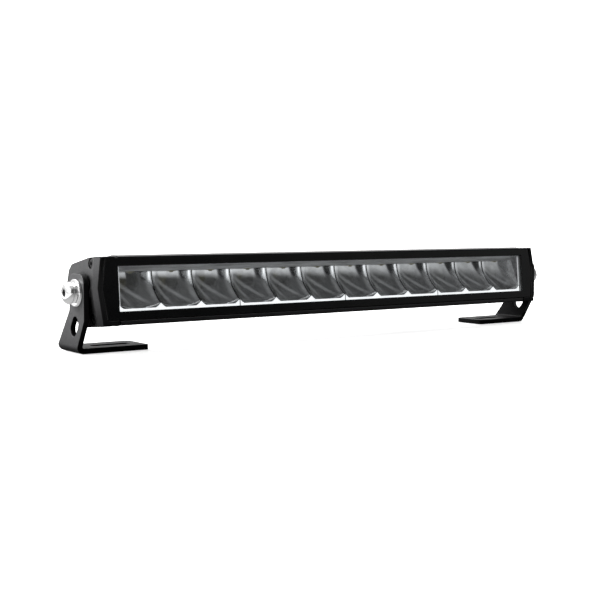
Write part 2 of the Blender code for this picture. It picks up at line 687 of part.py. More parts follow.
# ------------------------------------------------------------------ fasteners
def cap_screw(v, w):
    """Socket cap screw sunk in its pocket, right side."""
    xh = end_x(w, CAP_OUT, CAP_DROP) - 4.6 + GAP
    prof = [(BODY_X - 14.0, 0.0), (BODY_X - 14.0, 1.6), (BODY_X - 13.4, 1.95), (xh, 1.95), (xh, 3.5),
            (xh + 3.3, 3.5), (xh + 3.7, 3.1), (xh + 3.7, 0.0)]
    bm = lathe_x(prof, 18, (v, w))
    hexa = cyl("X", (v, w), 1.75, xh + 1.7, xh + 8.0, 6)
    return combine(bm, [hexa], "DIFFERENCE")


def pivot_bolt():
    """Right-hand side button head bolt, 6 mm hex socket."""
    x0 = LEG_OUT + GAP + 2.0 + GAP + 2.6 + GAP
    prof = [(241.0, 0.0), (241.0, BOLT_R - 1.2), (242.2, BOLT_R - 0.12), (x0, BOLT_R - 0.12), (x0, HEAD_R - 0.3),
            (x0 + 0.3, HEAD_R)]
    # crown from the rim to the flat around the socket
    n = 7
    for k in range(1, n + 1):
        t = (math.pi / 2) * k / n
        prof.append((x0 + 0.9 + (HEAD_H - 0.9) * math.sin(t * 0.93) / math.sin(math.pi / 2 * 0.93),
                     4.35 + (HEAD_R - 4.35) * math.cos(t)))
    prof.append((x0 + HEAD_H, 0.0))
    bm = lathe_x(prof, 28)
    hexa = cyl("X", (0.0, 0.0), SOCKET_AF / math.sqrt(3.0), x0 + HEAD_H - 3.1, x0 + HEAD_H + 5.0, 6,
               turn=math.radians(8))
    return combine(bm, [hexa], "DIFFERENCE")


def flat_washer():
    a = LEG_OUT + GAP
    prof = [(a, 5.35), (a, WASHER_R), (a + 1.7, WASHER_R), (a + 2.0, WASHER_R - 0.3), (a + 2.0, 5.35)]
    return lathe_x(prof, 32)


def spring_washer():
    """Split ring with a slanted gap."""
    a = LEG_OUT + GAP + 2.0 + GAP
    prof = [(a, 5.3), (a, 8.3), (a + 2.6, 8.3), (a + 2.6, 5.3)]
    ring = lathe_x(prof, 28)
    cut = prism([(a - 2.0, -2.4), (a - 2.0, -0.6), (a + 4.6, 2.2), (a + 4.6, 0.4)], "Z", 0.0, 20.0)
    return combine(ring, [cut], "DIFFERENCE")


def bush():
    a = BUSH_IN
    b = LEG_OUT - PLATE - 0.1
    return lathe_x([(a, 5.4), (a, BUSH_R), (b, BUSH_R), (b, 5.4)], 28)


# --------------------------------------------------------------------- build
def pair(name, make, parent, mat, smooth=30):
    """Right piece as drawn, left piece mirrored."""
    bm = make()
    left = mirror_x(bm)
    put(name + "_right", bm, parent, mat, smooth)
    put(name + "_left", left, parent, mat, smooth)


def main():
    clear()
    make_materials()
    m = MATS
    axis = bpy.data.objects.new("tilt_axis", None)
    bpy.context.scene.collection.objects.link(axis)
    axis.location = (0.0, -SLOT_Y * MM, AXIS_Z * MM)
    axis.rotation_euler = (math.radians(-TILT_REST), 0.0, 0.0)

    br = bracket()
    rt = mirror_x(br)
    for name, foot in (("bracket_left", br), ("bracket_right", rt)):
        put(name, foot, None, m["black_powder_steel"], 35).location = (0.0, -SLOT_Y * MM, 0.0)

    put("housing", housing(), axis, m["black_alloy"], 30)
    put("front_bezel", bezel(), axis, m["black_gloss"], 30)
    put("lens", lens(), axis, m["clear_lens"], 30)
    put("lens_gasket", lens_gasket(), axis, m["rubber"], 30)
    pair("end_cap", end_cap, axis, m["black_cast"])
    pair("end_gasket", cap_gasket, axis, m["rubber"])
    for i in range(4):
        put("reflector_%d" % (i + 1), reflector(i), axis, m["dark_chrome"], 40)
        put("light_guide_%d" % (i + 1), light_guide(i), axis, m["white_guide"], 30)
    put("inner_trim", trim(), axis, m["grey_trim"], 30)
    put("led_board", led_board(), axis, m["white_board"], 30)
    for k in range(CELLS):
        put("led_%02d" % (k + 1), led(k), axis, m["led"], 30)
    put("guide_board", drl_board(), axis, m["board"], 30)
    put("driver_board", driver_board(), axis, m["board"], 30)
    names = ("top", "bottom", "rear")
    for (v, w), nm in zip(SCREW_HOLES, names):
        pair("cap_screw_" + nm, lambda v=v, w=w: cap_screw(v, w), axis, m["zinc_black"])
    pair("pivot_bolt", pivot_bolt, axis, m["stainless"])
    pair("spring_washer", spring_washer, axis, m["stainless"])
    pair("flat_washer", flat_washer, axis, m["stainless"])
    pair("pivot_bush", bush, axis, m["nylon"])
    put("breather_vent", vent(), axis, m["vent_grey"], 30)
    put("cable_gland", gland(), axis, m["nylon"], 30)
    put("power_cable", cable(), axis, m["cable_black"], 40)
    put("plug", connector(), axis, m["nylon"], 30)
    bpy.context.view_layer.update()


main()
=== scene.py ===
"""LED light bar: the finished look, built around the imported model.

Lengths below are millimetres in the lamp's own frame (depth v = Y, height w = Z
from the tilt axis) unless a line says otherwise; every object is in metres.
"""
import json
import math

import bmesh
import bpy
from mathutils import Matrix, Vector


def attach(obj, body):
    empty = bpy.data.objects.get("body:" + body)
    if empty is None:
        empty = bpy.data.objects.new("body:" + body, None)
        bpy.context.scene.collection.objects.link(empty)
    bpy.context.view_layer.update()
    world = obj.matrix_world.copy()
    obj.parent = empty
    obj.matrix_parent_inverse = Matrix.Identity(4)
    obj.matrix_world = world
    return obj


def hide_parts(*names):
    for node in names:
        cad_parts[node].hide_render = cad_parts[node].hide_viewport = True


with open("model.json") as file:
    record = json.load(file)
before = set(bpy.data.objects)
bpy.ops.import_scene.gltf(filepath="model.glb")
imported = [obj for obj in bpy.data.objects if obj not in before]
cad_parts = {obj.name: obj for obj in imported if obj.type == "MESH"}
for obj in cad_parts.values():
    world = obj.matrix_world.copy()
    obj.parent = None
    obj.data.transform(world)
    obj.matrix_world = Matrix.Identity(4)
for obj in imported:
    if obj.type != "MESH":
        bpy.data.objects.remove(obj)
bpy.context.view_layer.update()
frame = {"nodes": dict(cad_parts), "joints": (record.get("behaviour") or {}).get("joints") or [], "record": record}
MM = 0.001

TILT = 5.0
PIVOT = Vector((0.0, *frame["joints"][0]["pos_m"][1:]))
AXIS_Z = PIVOT.z / MM
SLOT_Y = -PIVOT.y / MM
LAMP = Matrix.Translation(PIVOT) @ Matrix.Rotation(math.radians(-TILT), 4, "X") @ Matrix.Scale(MM, 4)
FEET = Matrix.Translation((0.0, PIVOT.y, 0.0)) @ Matrix.Scale(MM, 4)

CELLS = 12
PITCH = 38.0
MODULE_CELLS = 3
WIN_X = 229.0
WIN_TOP = 19.7
WIN_BOT = -16.9
FRONT = -21.0
FACE_TOP = 27.4
FACE_BOT = -28.2
BODY_X = 228.4
CAP_IN = 229.9
CAP_OUT = 250.6
RIDGE_W = 2.0
CAP_DROP = 3.6
CAP_CHAMFER = 4.0
CAP_RUN = 3.1
RIM = 7.1
REAR = (2 * SLOT_Y - FRONT * math.cos(math.radians(TILT))
        - FACE_BOT * math.sin(math.radians(TILT))) / math.cos(math.radians(TILT))
LEAD_V = REAR - 9.6
LENS_FRONT = -19.7
LENS_T = 1.5
GUIDE_FRONT = -17.3
BOWL_BACK = 6.0
BOWL_TOP = 15.3
BOWL_BOT = -14.9
BOWL_A = 29.75
BOWL_P = 2.7
BOWL_Q = 2.05
PLATE = 4.6
LEG_OUT = 256.1
FOOT_LEN = 64.6
FOOT_Y0 = 0.6
FOOT_Y1 = 38.0
LEG_Y0 = -13.3
LEG_Y1 = 14.2
LEG_TOP = AXIS_Z + 15.0
BEND_IN = 2.0
BOLT_R = 5.0
HEAD_R = 9.0
HEAD_H = 5.4
SOCKET_AF = 6.0
WASHER_R = 11.0
BUSH_R = 11.5
BUSH_IN = 249.5
PAD_R = 12.9
PAD_H = 0.3
SCREW_HOLES = (("top", -10.5, 22.4), ("bottom", -10.5, -21.9), ("rear", 20.5, -3.0))


# ================================================================== materials
class Mat:
    """A small helper for node materials."""

    def __init__(self, name):
        self.m = bpy.data.materials.new(name)
        self.m.use_nodes = True
        self.t = self.m.node_tree
        self.b = self.t.nodes["Principled BSDF"]
        self.out = self.t.nodes["Material Output"]
        tc = self.t.nodes.new("ShaderNodeTexCoord")
        self.co = tc.outputs["Object"]

    def n(self, kind, **kw):
        node = self.t.nodes.new(kind)
        for k, v in kw.items():
            setattr(node, k, v)
        return node

    def link(self, a, b):
        self.t.links.new(a, b)

    def math(self, op, a, b=0.0, clamp=False):
        node = self.n("ShaderNodeMath", operation=op, use_clamp=clamp)
        for i, x in enumerate((a, b)):
            if isinstance(x, (int, float)):
                node.inputs[i].default_value = x
            else:
                self.link(x, node.inputs[i])
        return node.outputs[0]

    def noise(self, scale, detail=2.0, rough=0.5, stretch=None):
        """Noise of the object's own coordinates; scale is cells per metre."""
        co = self.co
        if stretch:
            mp = self.n("ShaderNodeMapping")
            mp.inputs["Scale"].default_value = stretch
            self.link(co, mp.inputs["Vector"])
            co = mp.outputs["Vector"]
        node = self.n("ShaderNodeTexNoise")
        node.inputs["Scale"].default_value = scale
        node.inputs["Detail"].default_value = detail
        node.inputs["Roughness"].default_value = rough
        self.link(co, node.inputs["Vector"])
        return node.outputs["Fac"]

    def voronoi(self, scale):
        node = self.n("ShaderNodeTexVoronoi")
        node.inputs["Scale"].default_value = scale
        self.link(self.co, node.inputs["Vector"])
        return node.outputs["Distance"]

    def ramp(self, fac, stops):
        node = self.n("ShaderNodeValToRGB")
        el = node.color_ramp.elements
        while len(el) < len(stops):
            el.new(0.5)
        for e, (p, c) in zip(el, stops):
            e.position = p
            e.color = (c, c, c, 1.0) if isinstance(c, (int, float)) else (*c, 1.0)
        self.link(fac, node.inputs["Fac"])
        return node.outputs["Color"]

    def mix(self, fac, a, b):
        node = self.n("ShaderNodeMix", data_type="RGBA")
        for key, x in ((0, fac), (6, a), (7, b)):
            if isinstance(x, (int, float)):
                node.inputs[key].default_value = x
            elif isinstance(x, tuple):
                node.inputs[key].default_value = (*x, 1.0)
            else:
                self.link(x, node.inputs[key])
        return node.outputs[2]

    def bump(self, height, strength, distance, normal=None):
        node = self.n("ShaderNodeBump")
        node.inputs["Strength"].default_value = strength
        node.inputs["Distance"].default_value = distance
        self.link(height, node.inputs["Height"])
        if normal is not None:
            self.link(normal, node.inputs["Normal"])
        return node.outputs["Normal"]

    def edge(self, radius=0.0005, gain=3.0):
        """1 on convex edges, 0 on flats, broken up by noise."""
        bev = self.n("ShaderNodeBevel", samples=4)
        bev.inputs["Radius"].default_value = radius
        geo = self.n("ShaderNodeNewGeometry")
        dot = self.n("ShaderNodeVectorMath", operation="DOT_PRODUCT")
        self.link(bev.outputs["Normal"], dot.inputs[0])
        self.link(geo.outputs["Normal"], dot.inputs[1])
        amount = self.math("MULTIPLY", self.math("SUBTRACT", 1.0, dot.outputs["Value"]), gain, clamp=True)
        broken = self.ramp(self.noise(420.0, 4.0, 0.6), [(0.42, 0.0), (0.62, 1.0)])
        return self.math("MULTIPLY", amount, broken)

    def set(self, **kw):
        names = {"rough": "Roughness", "metal": "Metallic", "coat": "Coat Weight", "coat_rough": "Coat Roughness",
                 "spec": "Specular IOR Level", "ior": "IOR", "trans": "Transmission Weight",
                 "sss": "Subsurface Weight", "emit": "Emission Strength", "alpha": "Alpha"}
        for k, v in kw.items():
            self.b.inputs[names[k]].default_value = v
        return self

    def base(self, c):
        self.link(c, self.b.inputs["Base Color"])

    def normal(self, nrm):
        self.link(nrm, self.b.inputs["Normal"])

    def rough(self, fac, lo, hi):
        mr = self.n("ShaderNodeMapRange")
        mr.inputs["To Min"].default_value = lo
        mr.inputs["To Max"].default_value = hi
        mr.inputs["From Min"].default_value = 0.3
        mr.inputs["From Max"].default_value = 0.7
        self.link(fac, mr.inputs["Value"])
        self.link(mr.outputs["Result"], self.b.inputs["Roughness"])


def span(k, x, x0, x1, y0=0.0, y1=1.0):
    mr = k.n("ShaderNodeMapRange", interpolation_type="SMOOTHSTEP")
    for key, v in (("From Min", x0), ("From Max", x1), ("To Min", y0), ("To Max", y1)):
        mr.inputs[key].default_value = v
    k.link(x, mr.inputs["Value"])
    return mr.outputs["Result"]


def facing(k):
    """Which way a face points in the part's own frame, as three outputs."""
    tc = k.n("ShaderNodeTexCoord")
    sep = k.n("ShaderNodeSeparateXYZ")
    k.link(tc.outputs["Normal"], sep.inputs[0])
    return sep.outputs["X"], sep.outputs["Y"], sep.outputs["Z"]


def painted_light_and_shade(k, kind):
    """How much painted light and shade darken or lift a painted skin: painted shade deep in crevices and on faces
    turned away from the light; on the feet also painted light on the left bracket's outer face and a painted highlight
    on the right bracket's front edge; on the caps also painted light high on the front chamfer.
    """
    # painted shade: darker deep in crevices, from ambient occlusion
    ao = k.n("ShaderNodeAmbientOcclusion", samples=6)
    ao.inputs["Distance"].default_value = 0.022
    f = span(k, ao.outputs["AO"], 0.25, 0.85, 0.08 if kind == "cap" else 0.3, 1.0)
    nx, ny, nz = facing(k)
    if kind == "foot":
        sx = k.n("ShaderNodeSeparateXYZ")
        k.link(k.co, sx.inputs[0])
        # painted light: the left bracket's outer face, turned to -X, is lifted 1.3 over the rest, which is painted dark
        # at 0.2 with top faces a little lighter
        outer = k.math("MULTIPLY", span(k, nx, -0.75, -0.35, 1.0, 0.0), span(k, sx.outputs["X"], -0.01, 0.01, 1.0, 0.0))
        top = span(k, nz, 0.6, 0.9)
        rest = k.math("ADD", 0.2, k.math("MULTIPLY", top, 0.06))
        # painted highlight on the right bracket's front edge above the foot
        rim = k.math("MULTIPLY", span(k, ny, -0.9, -0.6, 1.0, 0.0),
                     k.math("MULTIPLY", span(k, sx.outputs["X"], -0.01, 0.01), span(k, sx.outputs["Z"], 0.008, 0.014)))
        rest = k.math("ADD", rest, k.math("MULTIPLY", rim, 2.0))
        f = k.math("MULTIPLY", f, k.math("ADD", rest, k.math("MULTIPLY", outer, 1.3)))
    else:
        # painted shade on faces turned to the front and on faces turned down
        f = k.math("MULTIPLY", f, span(k, ny, -0.97, -0.80, 0.45, 1.0))
        f = k.math("MULTIPLY", f, span(k, nz, -0.5, -0.02, 0.38, 1.0))
        sx = k.n("ShaderNodeSeparateXYZ")
        k.link(k.co, sx.inputs[0])
        # painted shade low on the part
        f = k.math("MULTIPLY", f, span(k, sx.outputs["Z"], 0.020, 0.052, 0.45, 1.0))
        # painted light high on faces turned towards the front, the upper chamfer
        f = k.math("MULTIPLY", f, k.math("ADD", 1.0, k.math("MULTIPLY", span(k, sx.outputs["Z"], 0.055, 0.075),
                                                              span(k, ny, -0.5, -0.2, 0.45, 0.0))))
    return f


def coated(name, dark, light, rough, grain, grain_h, wear_rgb=None, wear=0.5, metal=0.0, spec=0.5, peel=0.0,
           painted_light_kind=None):
    """Paint or cast skin: fine grain, drifting tone, patchy gloss, rubbed edges, and, for the feet and the caps,
    painted light and shade on tone and gloss.
    """
    k = Mat(name)
    fine = k.noise(grain, 3.0, 0.6)
    mid = k.noise(grain / 7.0, 2.0)
    big = k.noise(22.0, 3.0, 0.55)
    tone = k.mix(k.ramp(fine, [(0.35, 0.0), (0.65, 1.0)]), dark, light)
    tone = k.mix(k.ramp(big, [(0.35, 0.0), (0.7, 0.35)]), tone, light)
    if wear_rgb:
        tone = k.mix(k.math("MULTIPLY", k.edge(), wear), tone, wear_rgb)
    if painted_light_kind:
        # painted light and shade: the factor scales the tone and the gloss
        f = painted_light_and_shade(k, painted_light_kind)
        tone = k.mix(k.math("MULTIPLY", f, 0.7), (0.0, 0.0, 0.0), tuple_scaled(k, tone, 1.0 / 0.7))
        k.link(k.math("MULTIPLY", f, spec), k.b.inputs["Specular IOR Level"])
    else:
        k.set(spec=spec)
    k.base(tone)
    k.set(metal=metal)
    k.rough(k.math("ADD", k.math("MULTIPLY", mid, 0.5), k.math("MULTIPLY", big, 0.5)), rough[0], rough[1])
    nrm = k.bump(fine, 0.55, grain_h)
    if peel:
        nrm = k.bump(k.noise(grain / 4.0, 1.0), 0.5, peel, nrm)
    k.normal(nrm)
    return k.m


def tuple_scaled(k, tone, by):
    node = k.n("ShaderNodeVectorMath", operation="SCALE")
    k.link(tone, node.inputs[0])
    node.inputs["Scale"].default_value = by
    return node.outputs["Vector"]


def polished(name, tone, rough, brushed=False, painted_reflection_glow=0.0):
    """Bright metal with drawn lines or fine turning marks and smudges, and, when asked, a painted reflection: emission
    on faces turned down.
    """
    k = Mat(name)
    lines = k.noise(900.0, 2.0, 0.5, (0.25, 3.0, 3.0) if brushed else (2.5, 1.0, 1.0))
    smudge = k.noise(160.0, 3.0, 0.6)
    dark = tuple(c * 0.8 for c in tone)
    k.base(k.mix(k.ramp(smudge, [(0.35, 0.0), (0.65, 1.0)]), dark, tone))
    k.set(metal=1.0)
    k.rough(k.math("ADD", k.math("MULTIPLY", lines, 0.4), k.math("MULTIPLY", smudge, 0.6)), rough[0], rough[1])
    k.normal(k.bump(lines, 0.12, 0.00003))
    if painted_reflection_glow:
        # painted reflection: faces turned down glow in the metal's tone, standing in for the bright floor mirrored in
        # them
        nx, ny, nz = facing(k)
        k.b.inputs["Emission Color"].default_value = (*tone, 1.0)
        low = k.math("MULTIPLY", span(k, nz, -0.55, 0.25, 1.0, 0.0), span(k, nx, 0.0, 0.3, 1.0, 0.0))
        k.link(k.math("MULTIPLY", low, painted_reflection_glow), k.b.inputs["Emission Strength"])
    return k.m


def bezel_mat():
    k = Mat("gloss_black_moulding")
    dust = k.ramp(k.noise(2600.0, 2.0, 0.7), [(0.62, 0.0), (0.78, 1.0)])
    flow = k.noise(35.0, 2.0)
    tone = k.mix(k.ramp(flow, [(0.3, 0.0), (0.7, 1.0)]), (0.0065, 0.007, 0.0075), (0.012, 0.0125, 0.013))
    tone = k.mix(k.math("MULTIPLY", dust, 0.06), tone, (0.25, 0.25, 0.25))
    tone = k.mix(k.math("MULTIPLY", k.edge(0.0004), 0.25), tone, (0.06, 0.06, 0.062))
    k.base(tone)
    k.set(spec=0.42)
    k.rough(k.noise(120.0, 3.0, 0.6), 0.09, 0.16)
    k.normal(k.bump(k.noise(260.0, 2.0), 0.2, 0.00004))
    return k.m


def lens_mat():
    """Clear hard-coated sheet: mirror by Fresnel, otherwise see-through."""
    k = Mat("clear_polycarbonate")
    k.b.inputs["Base Color"].default_value = (0.95, 0.97, 1.0, 1.0)
    k.set(metal=1.0)
    smear = k.noise(40.0, 4.0, 0.6, (0.4, 1.0, 1.6))
    k.rough(smear, 0.015, 0.07)
    k.normal(k.bump(k.noise(30.0, 1.0), 0.04, 0.0001))
    fres = k.n("ShaderNodeFresnel")
    fres.inputs["IOR"].default_value = 1.42
    haze = k.math("MULTIPLY", k.ramp(k.noise(1800.0, 2.0), [(0.6, 0.0), (0.8, 1.0)]), 0.015)
    clear = k.n("ShaderNodeBsdfTransparent")
    clear.inputs["Color"].default_value = (0.955, 0.965, 0.97, 1.0)
    geo = k.n("ShaderNodeNewGeometry")
    fac = k.math("ADD", k.math("MULTIPLY", fres.outputs[0], 0.8), haze, clamp=True)
    fac = k.math("MULTIPLY", fac, k.math("SUBTRACT", 1.0, geo.outputs["Backfacing"]))
    mix = k.n("ShaderNodeMixShader")
    k.link(fac, mix.inputs[0])
    k.link(clear.outputs[0], mix.inputs[1])
    k.link(k.b.outputs[0], mix.inputs[2])
    k.link(mix.outputs[0], k.out.inputs["Surface"])
    return k.m


def reflector_mat():
    """Vapour-metallised bowls, with painted light (emission for the spill of light and reflections in each bowl) and
    painted shade (dark crests, a dark patch, the metal dimmed). u runs across one cell, h down from its open top.
    """
    k = Mat("vapour_metal_reflector")
    wave = k.noise(140.0, 2.0, 0.5)
    specks = k.ramp(k.noise(1500.0, 2.0), [(0.6, 0.0), (0.8, 1.0)])
    sx = k.n("ShaderNodeSeparateXYZ")
    k.link(k.co, sx.inputs[0])
    t = math.radians(TILT)
    up = k.n("ShaderNodeVectorMath", operation="DOT_PRODUCT")
    up.inputs[1].default_value = (0.0, math.sin(t) / MM, math.cos(t) / MM)
    k.link(k.co, up.inputs[0])
    off = (math.sin(t) * PIVOT.y + math.cos(t) * PIVOT.z) / MM
    h = k.math("SUBTRACT", BOWL_TOP + off, up.outputs["Value"])
    run = k.math("DIVIDE", k.math("ADD", k.math("MULTIPLY", sx.outputs["X"], 1.0 / MM), CELLS * PITCH / 2), PITCH)
    u = k.math("FRACT", run)
    along = k.math("DIVIDE", run, float(CELLS))

    def step(x, x0, x1, y0=0.0, y1=1.0):
        mr = k.n("ShaderNodeMapRange", interpolation_type="SMOOTHSTEP")
        for key, v in (("From Min", x0), ("From Max", x1), ("To Min", y0), ("To Max", y1)):
            mr.inputs[key].default_value = v
        k.link(x, mr.inputs["Value"])
        return mr.outputs["Result"]

    def times(*xs):
        out = xs[0]
        for x in xs[1:]:
            out = k.math("MULTIPLY", out, x)
        return out
    # painted light: emission for the light spilled from the emitter over the top of each bowl, fainter along the bar
    reach = k.math("ADD", 8.5, k.math("MULTIPLY", k.math("POWER", along, 1.5), 8.0))
    lean = k.math("ADD", 0.62, k.math("MULTIPLY", u, k.math("ADD", 0.3, k.math("MULTIPLY", along, 0.7))))
    fall = k.math("DIVIDE", h, k.math("MULTIPLY", reach, lean))
    first = k.math("SUBTRACT", 1.0, k.math("MULTIPLY", step(run, 0.985, 1.0, 1.0, 0.0), step(u, 0.47, 0.50)))
    skew = k.math("SUBTRACT", u, times(k.math("MAXIMUM", h, 0.0), along, 0.009))
    spill = times(step(u, 0.012, 0.045), step(skew, 0.735, 0.79, 1.0, 0.0), step(fall, 0.1, 1.0, 1.0, 0.0), first,
                  step(along, 0.02, 1.0, 0.50, 0.27), step(wave, 0.3, 0.7, 0.8, 1.15))
    # painted highlights (emission): a narrow flare high on the far wall, and softer bands down both walls
    flare = times(step(u, 0.925, 0.950), step(u, 0.960, 0.980, 1.0, 0.0), step(h, 2.5, 10.0, 1.0, 0.0),
                  step(along, 0.0, 1.0, 0.7, 0.5))
    wall = times(step(u, 0.84, 0.93), step(u, 0.965, 0.985, 1.0, 0.0), step(h, 5.0, 9.0), step(h, 20.0, 29.0, 1.0, 0.3),
                 0.075)
    centre = k.math("ADD", 0.07, k.math("MULTIPLY", k.math("POWER", k.math("DIVIDE", k.math("MAXIMUM", h, 0.0), 24.0),
                                                           1.35), 0.62))
    near = k.math("ABSOLUTE", k.math("SUBTRACT", u, centre))
    band = times(step(near, 0.02, 0.12, 1.0, 0.0), step(h, 3.0, 8.0), step(h, 22.0, 28.0, 1.0, 0.25), 0.085)
    beside = k.math("ADD", 0.04, k.math("MULTIPLY", k.math("POWER", k.math("DIVIDE", k.math("MAXIMUM", h, 0.0), 24.0),
                                                           1.3), 0.22))
    close = k.math("ABSOLUTE", k.math("SUBTRACT", u, beside))
    inner = times(step(close, 0.01, 0.075, 1.0, 0.0), step(h, 4.0, 9.0), step(h, 22.0, 28.0, 1.0, 0.25), 0.075)
    glow = k.math("ADD", k.math("ADD", k.math("ADD", spill, inner), flare), k.math("ADD", wall, band))
    # painted shade: crest is 0 along each crest, where the metal is painted dark and gets no emission; shade paints a
    # dark patch high on the far wall; elsewhere the metal is dimmed to about half
    crest = step(k.math("MINIMUM", u, k.math("SUBTRACT", 1.0, u)), 0.007, 0.016)
    shade = times(step(skew, 0.77, 0.82), step(u, 0.90, 0.93, 1.0, 0.0), step(h, 5.0, 10.0, 1.0, 0.0))
    # the last cell gets a flat painted glow and none of the painted shade patch
    wing = step(run, CELLS - 0.27, CELLS - 0.21)
    plain = k.math("SUBTRACT", 1.0, wing)
    glow = k.math("ADD", times(glow, plain), k.math("MULTIPLY", wing, 0.05))
    shade = times(shade, plain)
    painted_shade_keep = times(crest, k.math("SUBTRACT", 0.52, k.math("MULTIPLY", shade, 0.32)))
    metal = k.mix(k.ramp(wave, [(0.35, 0.0), (0.65, 1.0)]), (0.80, 0.80, 0.81), (0.90, 0.90, 0.90))
    k.base(k.mix(k.math("SUBTRACT", 1.0, painted_shade_keep), metal, (0.02, 0.02, 0.02)))
    # painted light: the glow masks drive emission
    k.b.inputs["Emission Color"].default_value = (0.97, 0.985, 1.0, 1.0)
    k.link(times(glow, crest), k.b.inputs["Emission Strength"])
    k.set(metal=1.0)
    k.rough(k.math("ADD", wave, k.math("MULTIPLY", specks, 0.15)), 0.13, 0.22)
    k.normal(k.bump(wave, 0.18, 0.0003))
    return k.m


def guide_mat(glow, name="opal_diffuser"):
    """Milky diffuser, softly lit along its length."""
    k = Mat(name)
    cloud = k.noise(90.0, 2.0)
    tone = k.mix(k.ramp(cloud, [(0.3, 0.0), (0.7, 1.0)]), (0.90, 0.91, 0.92), (0.97, 0.97, 0.97))
    sx = k.n("ShaderNodeSeparateXYZ")
    k.link(k.co, sx.inputs[0])
    third = k.math("FRACT", k.math("ADD", k.math("DIVIDE", sx.outputs["X"], 3 * PITCH * MM), 0.5))
    joint = k.math("ABSOLUTE", k.math("SUBTRACT", third, 0.5))
    tone = k.mix(span(k, joint, 0.0034, 0.0050, 1.0, 0.0), tone, (0.12, 0.12, 0.12))
    k.base(tone)
    k.link(tone, k.b.inputs["Emission Color"])
    k.set(emit=glow, sss=0.0)
    k.rough(k.noise(400.0, 2.0), 0.3, 0.45)
    k.normal(k.bump(k.noise(1200.0, 1.0), 0.1, 0.00003))
    return k.m


def led_mat():
    k = Mat("phosphor_face")
    grit = k.noise(5000.0, 2.0)
    tone = k.mix(k.ramp(grit, [(0.3, 0.0), (0.7, 1.0)]), (0.42, 0.40, 0.30), (0.55, 0.53, 0.42))
    k.base(tone)
    k.link(tone, k.b.inputs["Emission Color"])
    k.set(emit=LED_GLOW)
    k.rough(grit, 0.25, 0.45)
    k.normal(k.bump(grit, 0.2, 0.00002))
    return k.m


def board_mat(name, a, b):
    """Solder mask over copper tracks."""
    k = Mat(name)
    tracks = k.ramp(k.noise(260.0, 0.0, 0.5, (0.3, 1.0, 1.0)), [(0.48, 0.0), (0.5, 1.0)])
    k.base(k.mix(tracks, a, b))
    k.rough(k.noise(500.0, 2.0), 0.35, 0.5)
    k.normal(k.bump(tracks, 0.3, 0.00003))
    return k.m


def floor_mat():
    """Pale sheet. Seen directly it lifts to white with distance; what it throws back on the object is kept low."""
    k = Mat("studio_floor")
    k.base(k.mix(k.ramp(k.noise(3.0, 3.0), [(0.3, 0.0), (0.7, 1.0)]), (0.80, 0.80, 0.80), (0.83, 0.83, 0.83)))
    k.rough(k.noise(60.0, 3.0), 0.6, 0.7)
    k.set(spec=0.2)
    ln = k.n("ShaderNodeVectorMath", operation="LENGTH")
    k.link(k.co, ln.inputs[0])
    far = k.n("ShaderNodeMapRange", interpolation_type="SMOOTHSTEP")
    for key, v in (("From Min", 0.45), ("From Max", 1.7), ("To Min", 0.72), ("To Max", 1.0)):
        far.inputs[key].default_value = v
    k.link(ln.outputs["Value"], far.inputs["Value"])
    glow = k.n("ShaderNodeEmission")
    glow.inputs["Color"].default_value = (1.0, 1.0, 1.0, 1.0)
    seen = k.n("ShaderNodeAddShader")
    k.link(far.outputs["Result"], glow.inputs["Strength"])
    k.link(k.b.outputs[0], seen.inputs[0])
    k.link(glow.outputs[0], seen.inputs[1])
    dim = k.n("ShaderNodeBsdfDiffuse")
    dim.inputs["Color"].default_value = (FLOOR_BOUNCE, FLOOR_BOUNCE, FLOOR_BOUNCE, 1.0)
    along = k.n("ShaderNodeVectorMath", operation="DOT_PRODUCT")
    along.inputs[1].default_value = (math.sin(math.radians(35.5)), math.cos(math.radians(35.5)), 0.0)
    k.link(k.co, along.inputs[0])
    back = k.n("ShaderNodeMapRange", interpolation_type="SMOOTHSTEP")
    for key, v in (("From Min", 0.9), ("From Max", 2.4), ("To Min", 0.0), ("To Max", 1.0)):
        back.inputs[key].default_value = v
    k.link(along.outputs["Value"], back.inputs["Value"])
    card = k.n("ShaderNodeEmission")
    k.link(back.outputs["Result"], card.inputs["Strength"])
    painted_light_kind = k.n("ShaderNodeAddShader")
    k.link(dim.outputs[0], painted_light_kind.inputs[0])
    k.link(card.outputs[0], painted_light_kind.inputs[1])
    path = k.n("ShaderNodeLightPath")
    mix = k.n("ShaderNodeMixShader")
    k.link(path.outputs["Is Camera Ray"], mix.inputs[0])
    k.link(painted_light_kind.outputs[0], mix.inputs[1])
    k.link(seen.outputs[0], mix.inputs[2])
    k.link(mix.outputs[0], k.out.inputs["Surface"])
    return k.m


FLOOR_BOUNCE = 0.07
GUIDE_GLOW = 1.0
LED_GLOW = 0.06

def trim_mat():
    """Metallised grey moulding, drawn lengthwise, with a faint painted light: emission along its streaks."""
    k = Mat("satin_grey_trim")
    streak = k.noise(420.0, 3.0, 0.6, (0.06, 1.0, 1.0))
    cloud = k.noise(60.0, 2.0)
    tone = k.mix(k.ramp(streak, [(0.35, 0.0), (0.65, 1.0)]), (0.50, 0.50, 0.505), (0.74, 0.74, 0.745))
    k.base(k.mix(k.ramp(cloud, [(0.3, 0.0), (0.7, 0.4)]), tone, (0.6, 0.6, 0.605)))
    k.set(metal=0.35)
    # painted light: faint emission along the streaks lifts the band out of the shade under the shelf
    k.b.inputs["Emission Color"].default_value = (0.98, 0.99, 1.0, 1.0)
    k.link(span(k, streak, 0.35, 0.65, 0.03, 0.085), k.b.inputs["Emission Strength"])
    k.rough(streak, 0.3, 0.45)
    k.normal(k.bump(streak, 0.15, 0.00004))
    return k.m


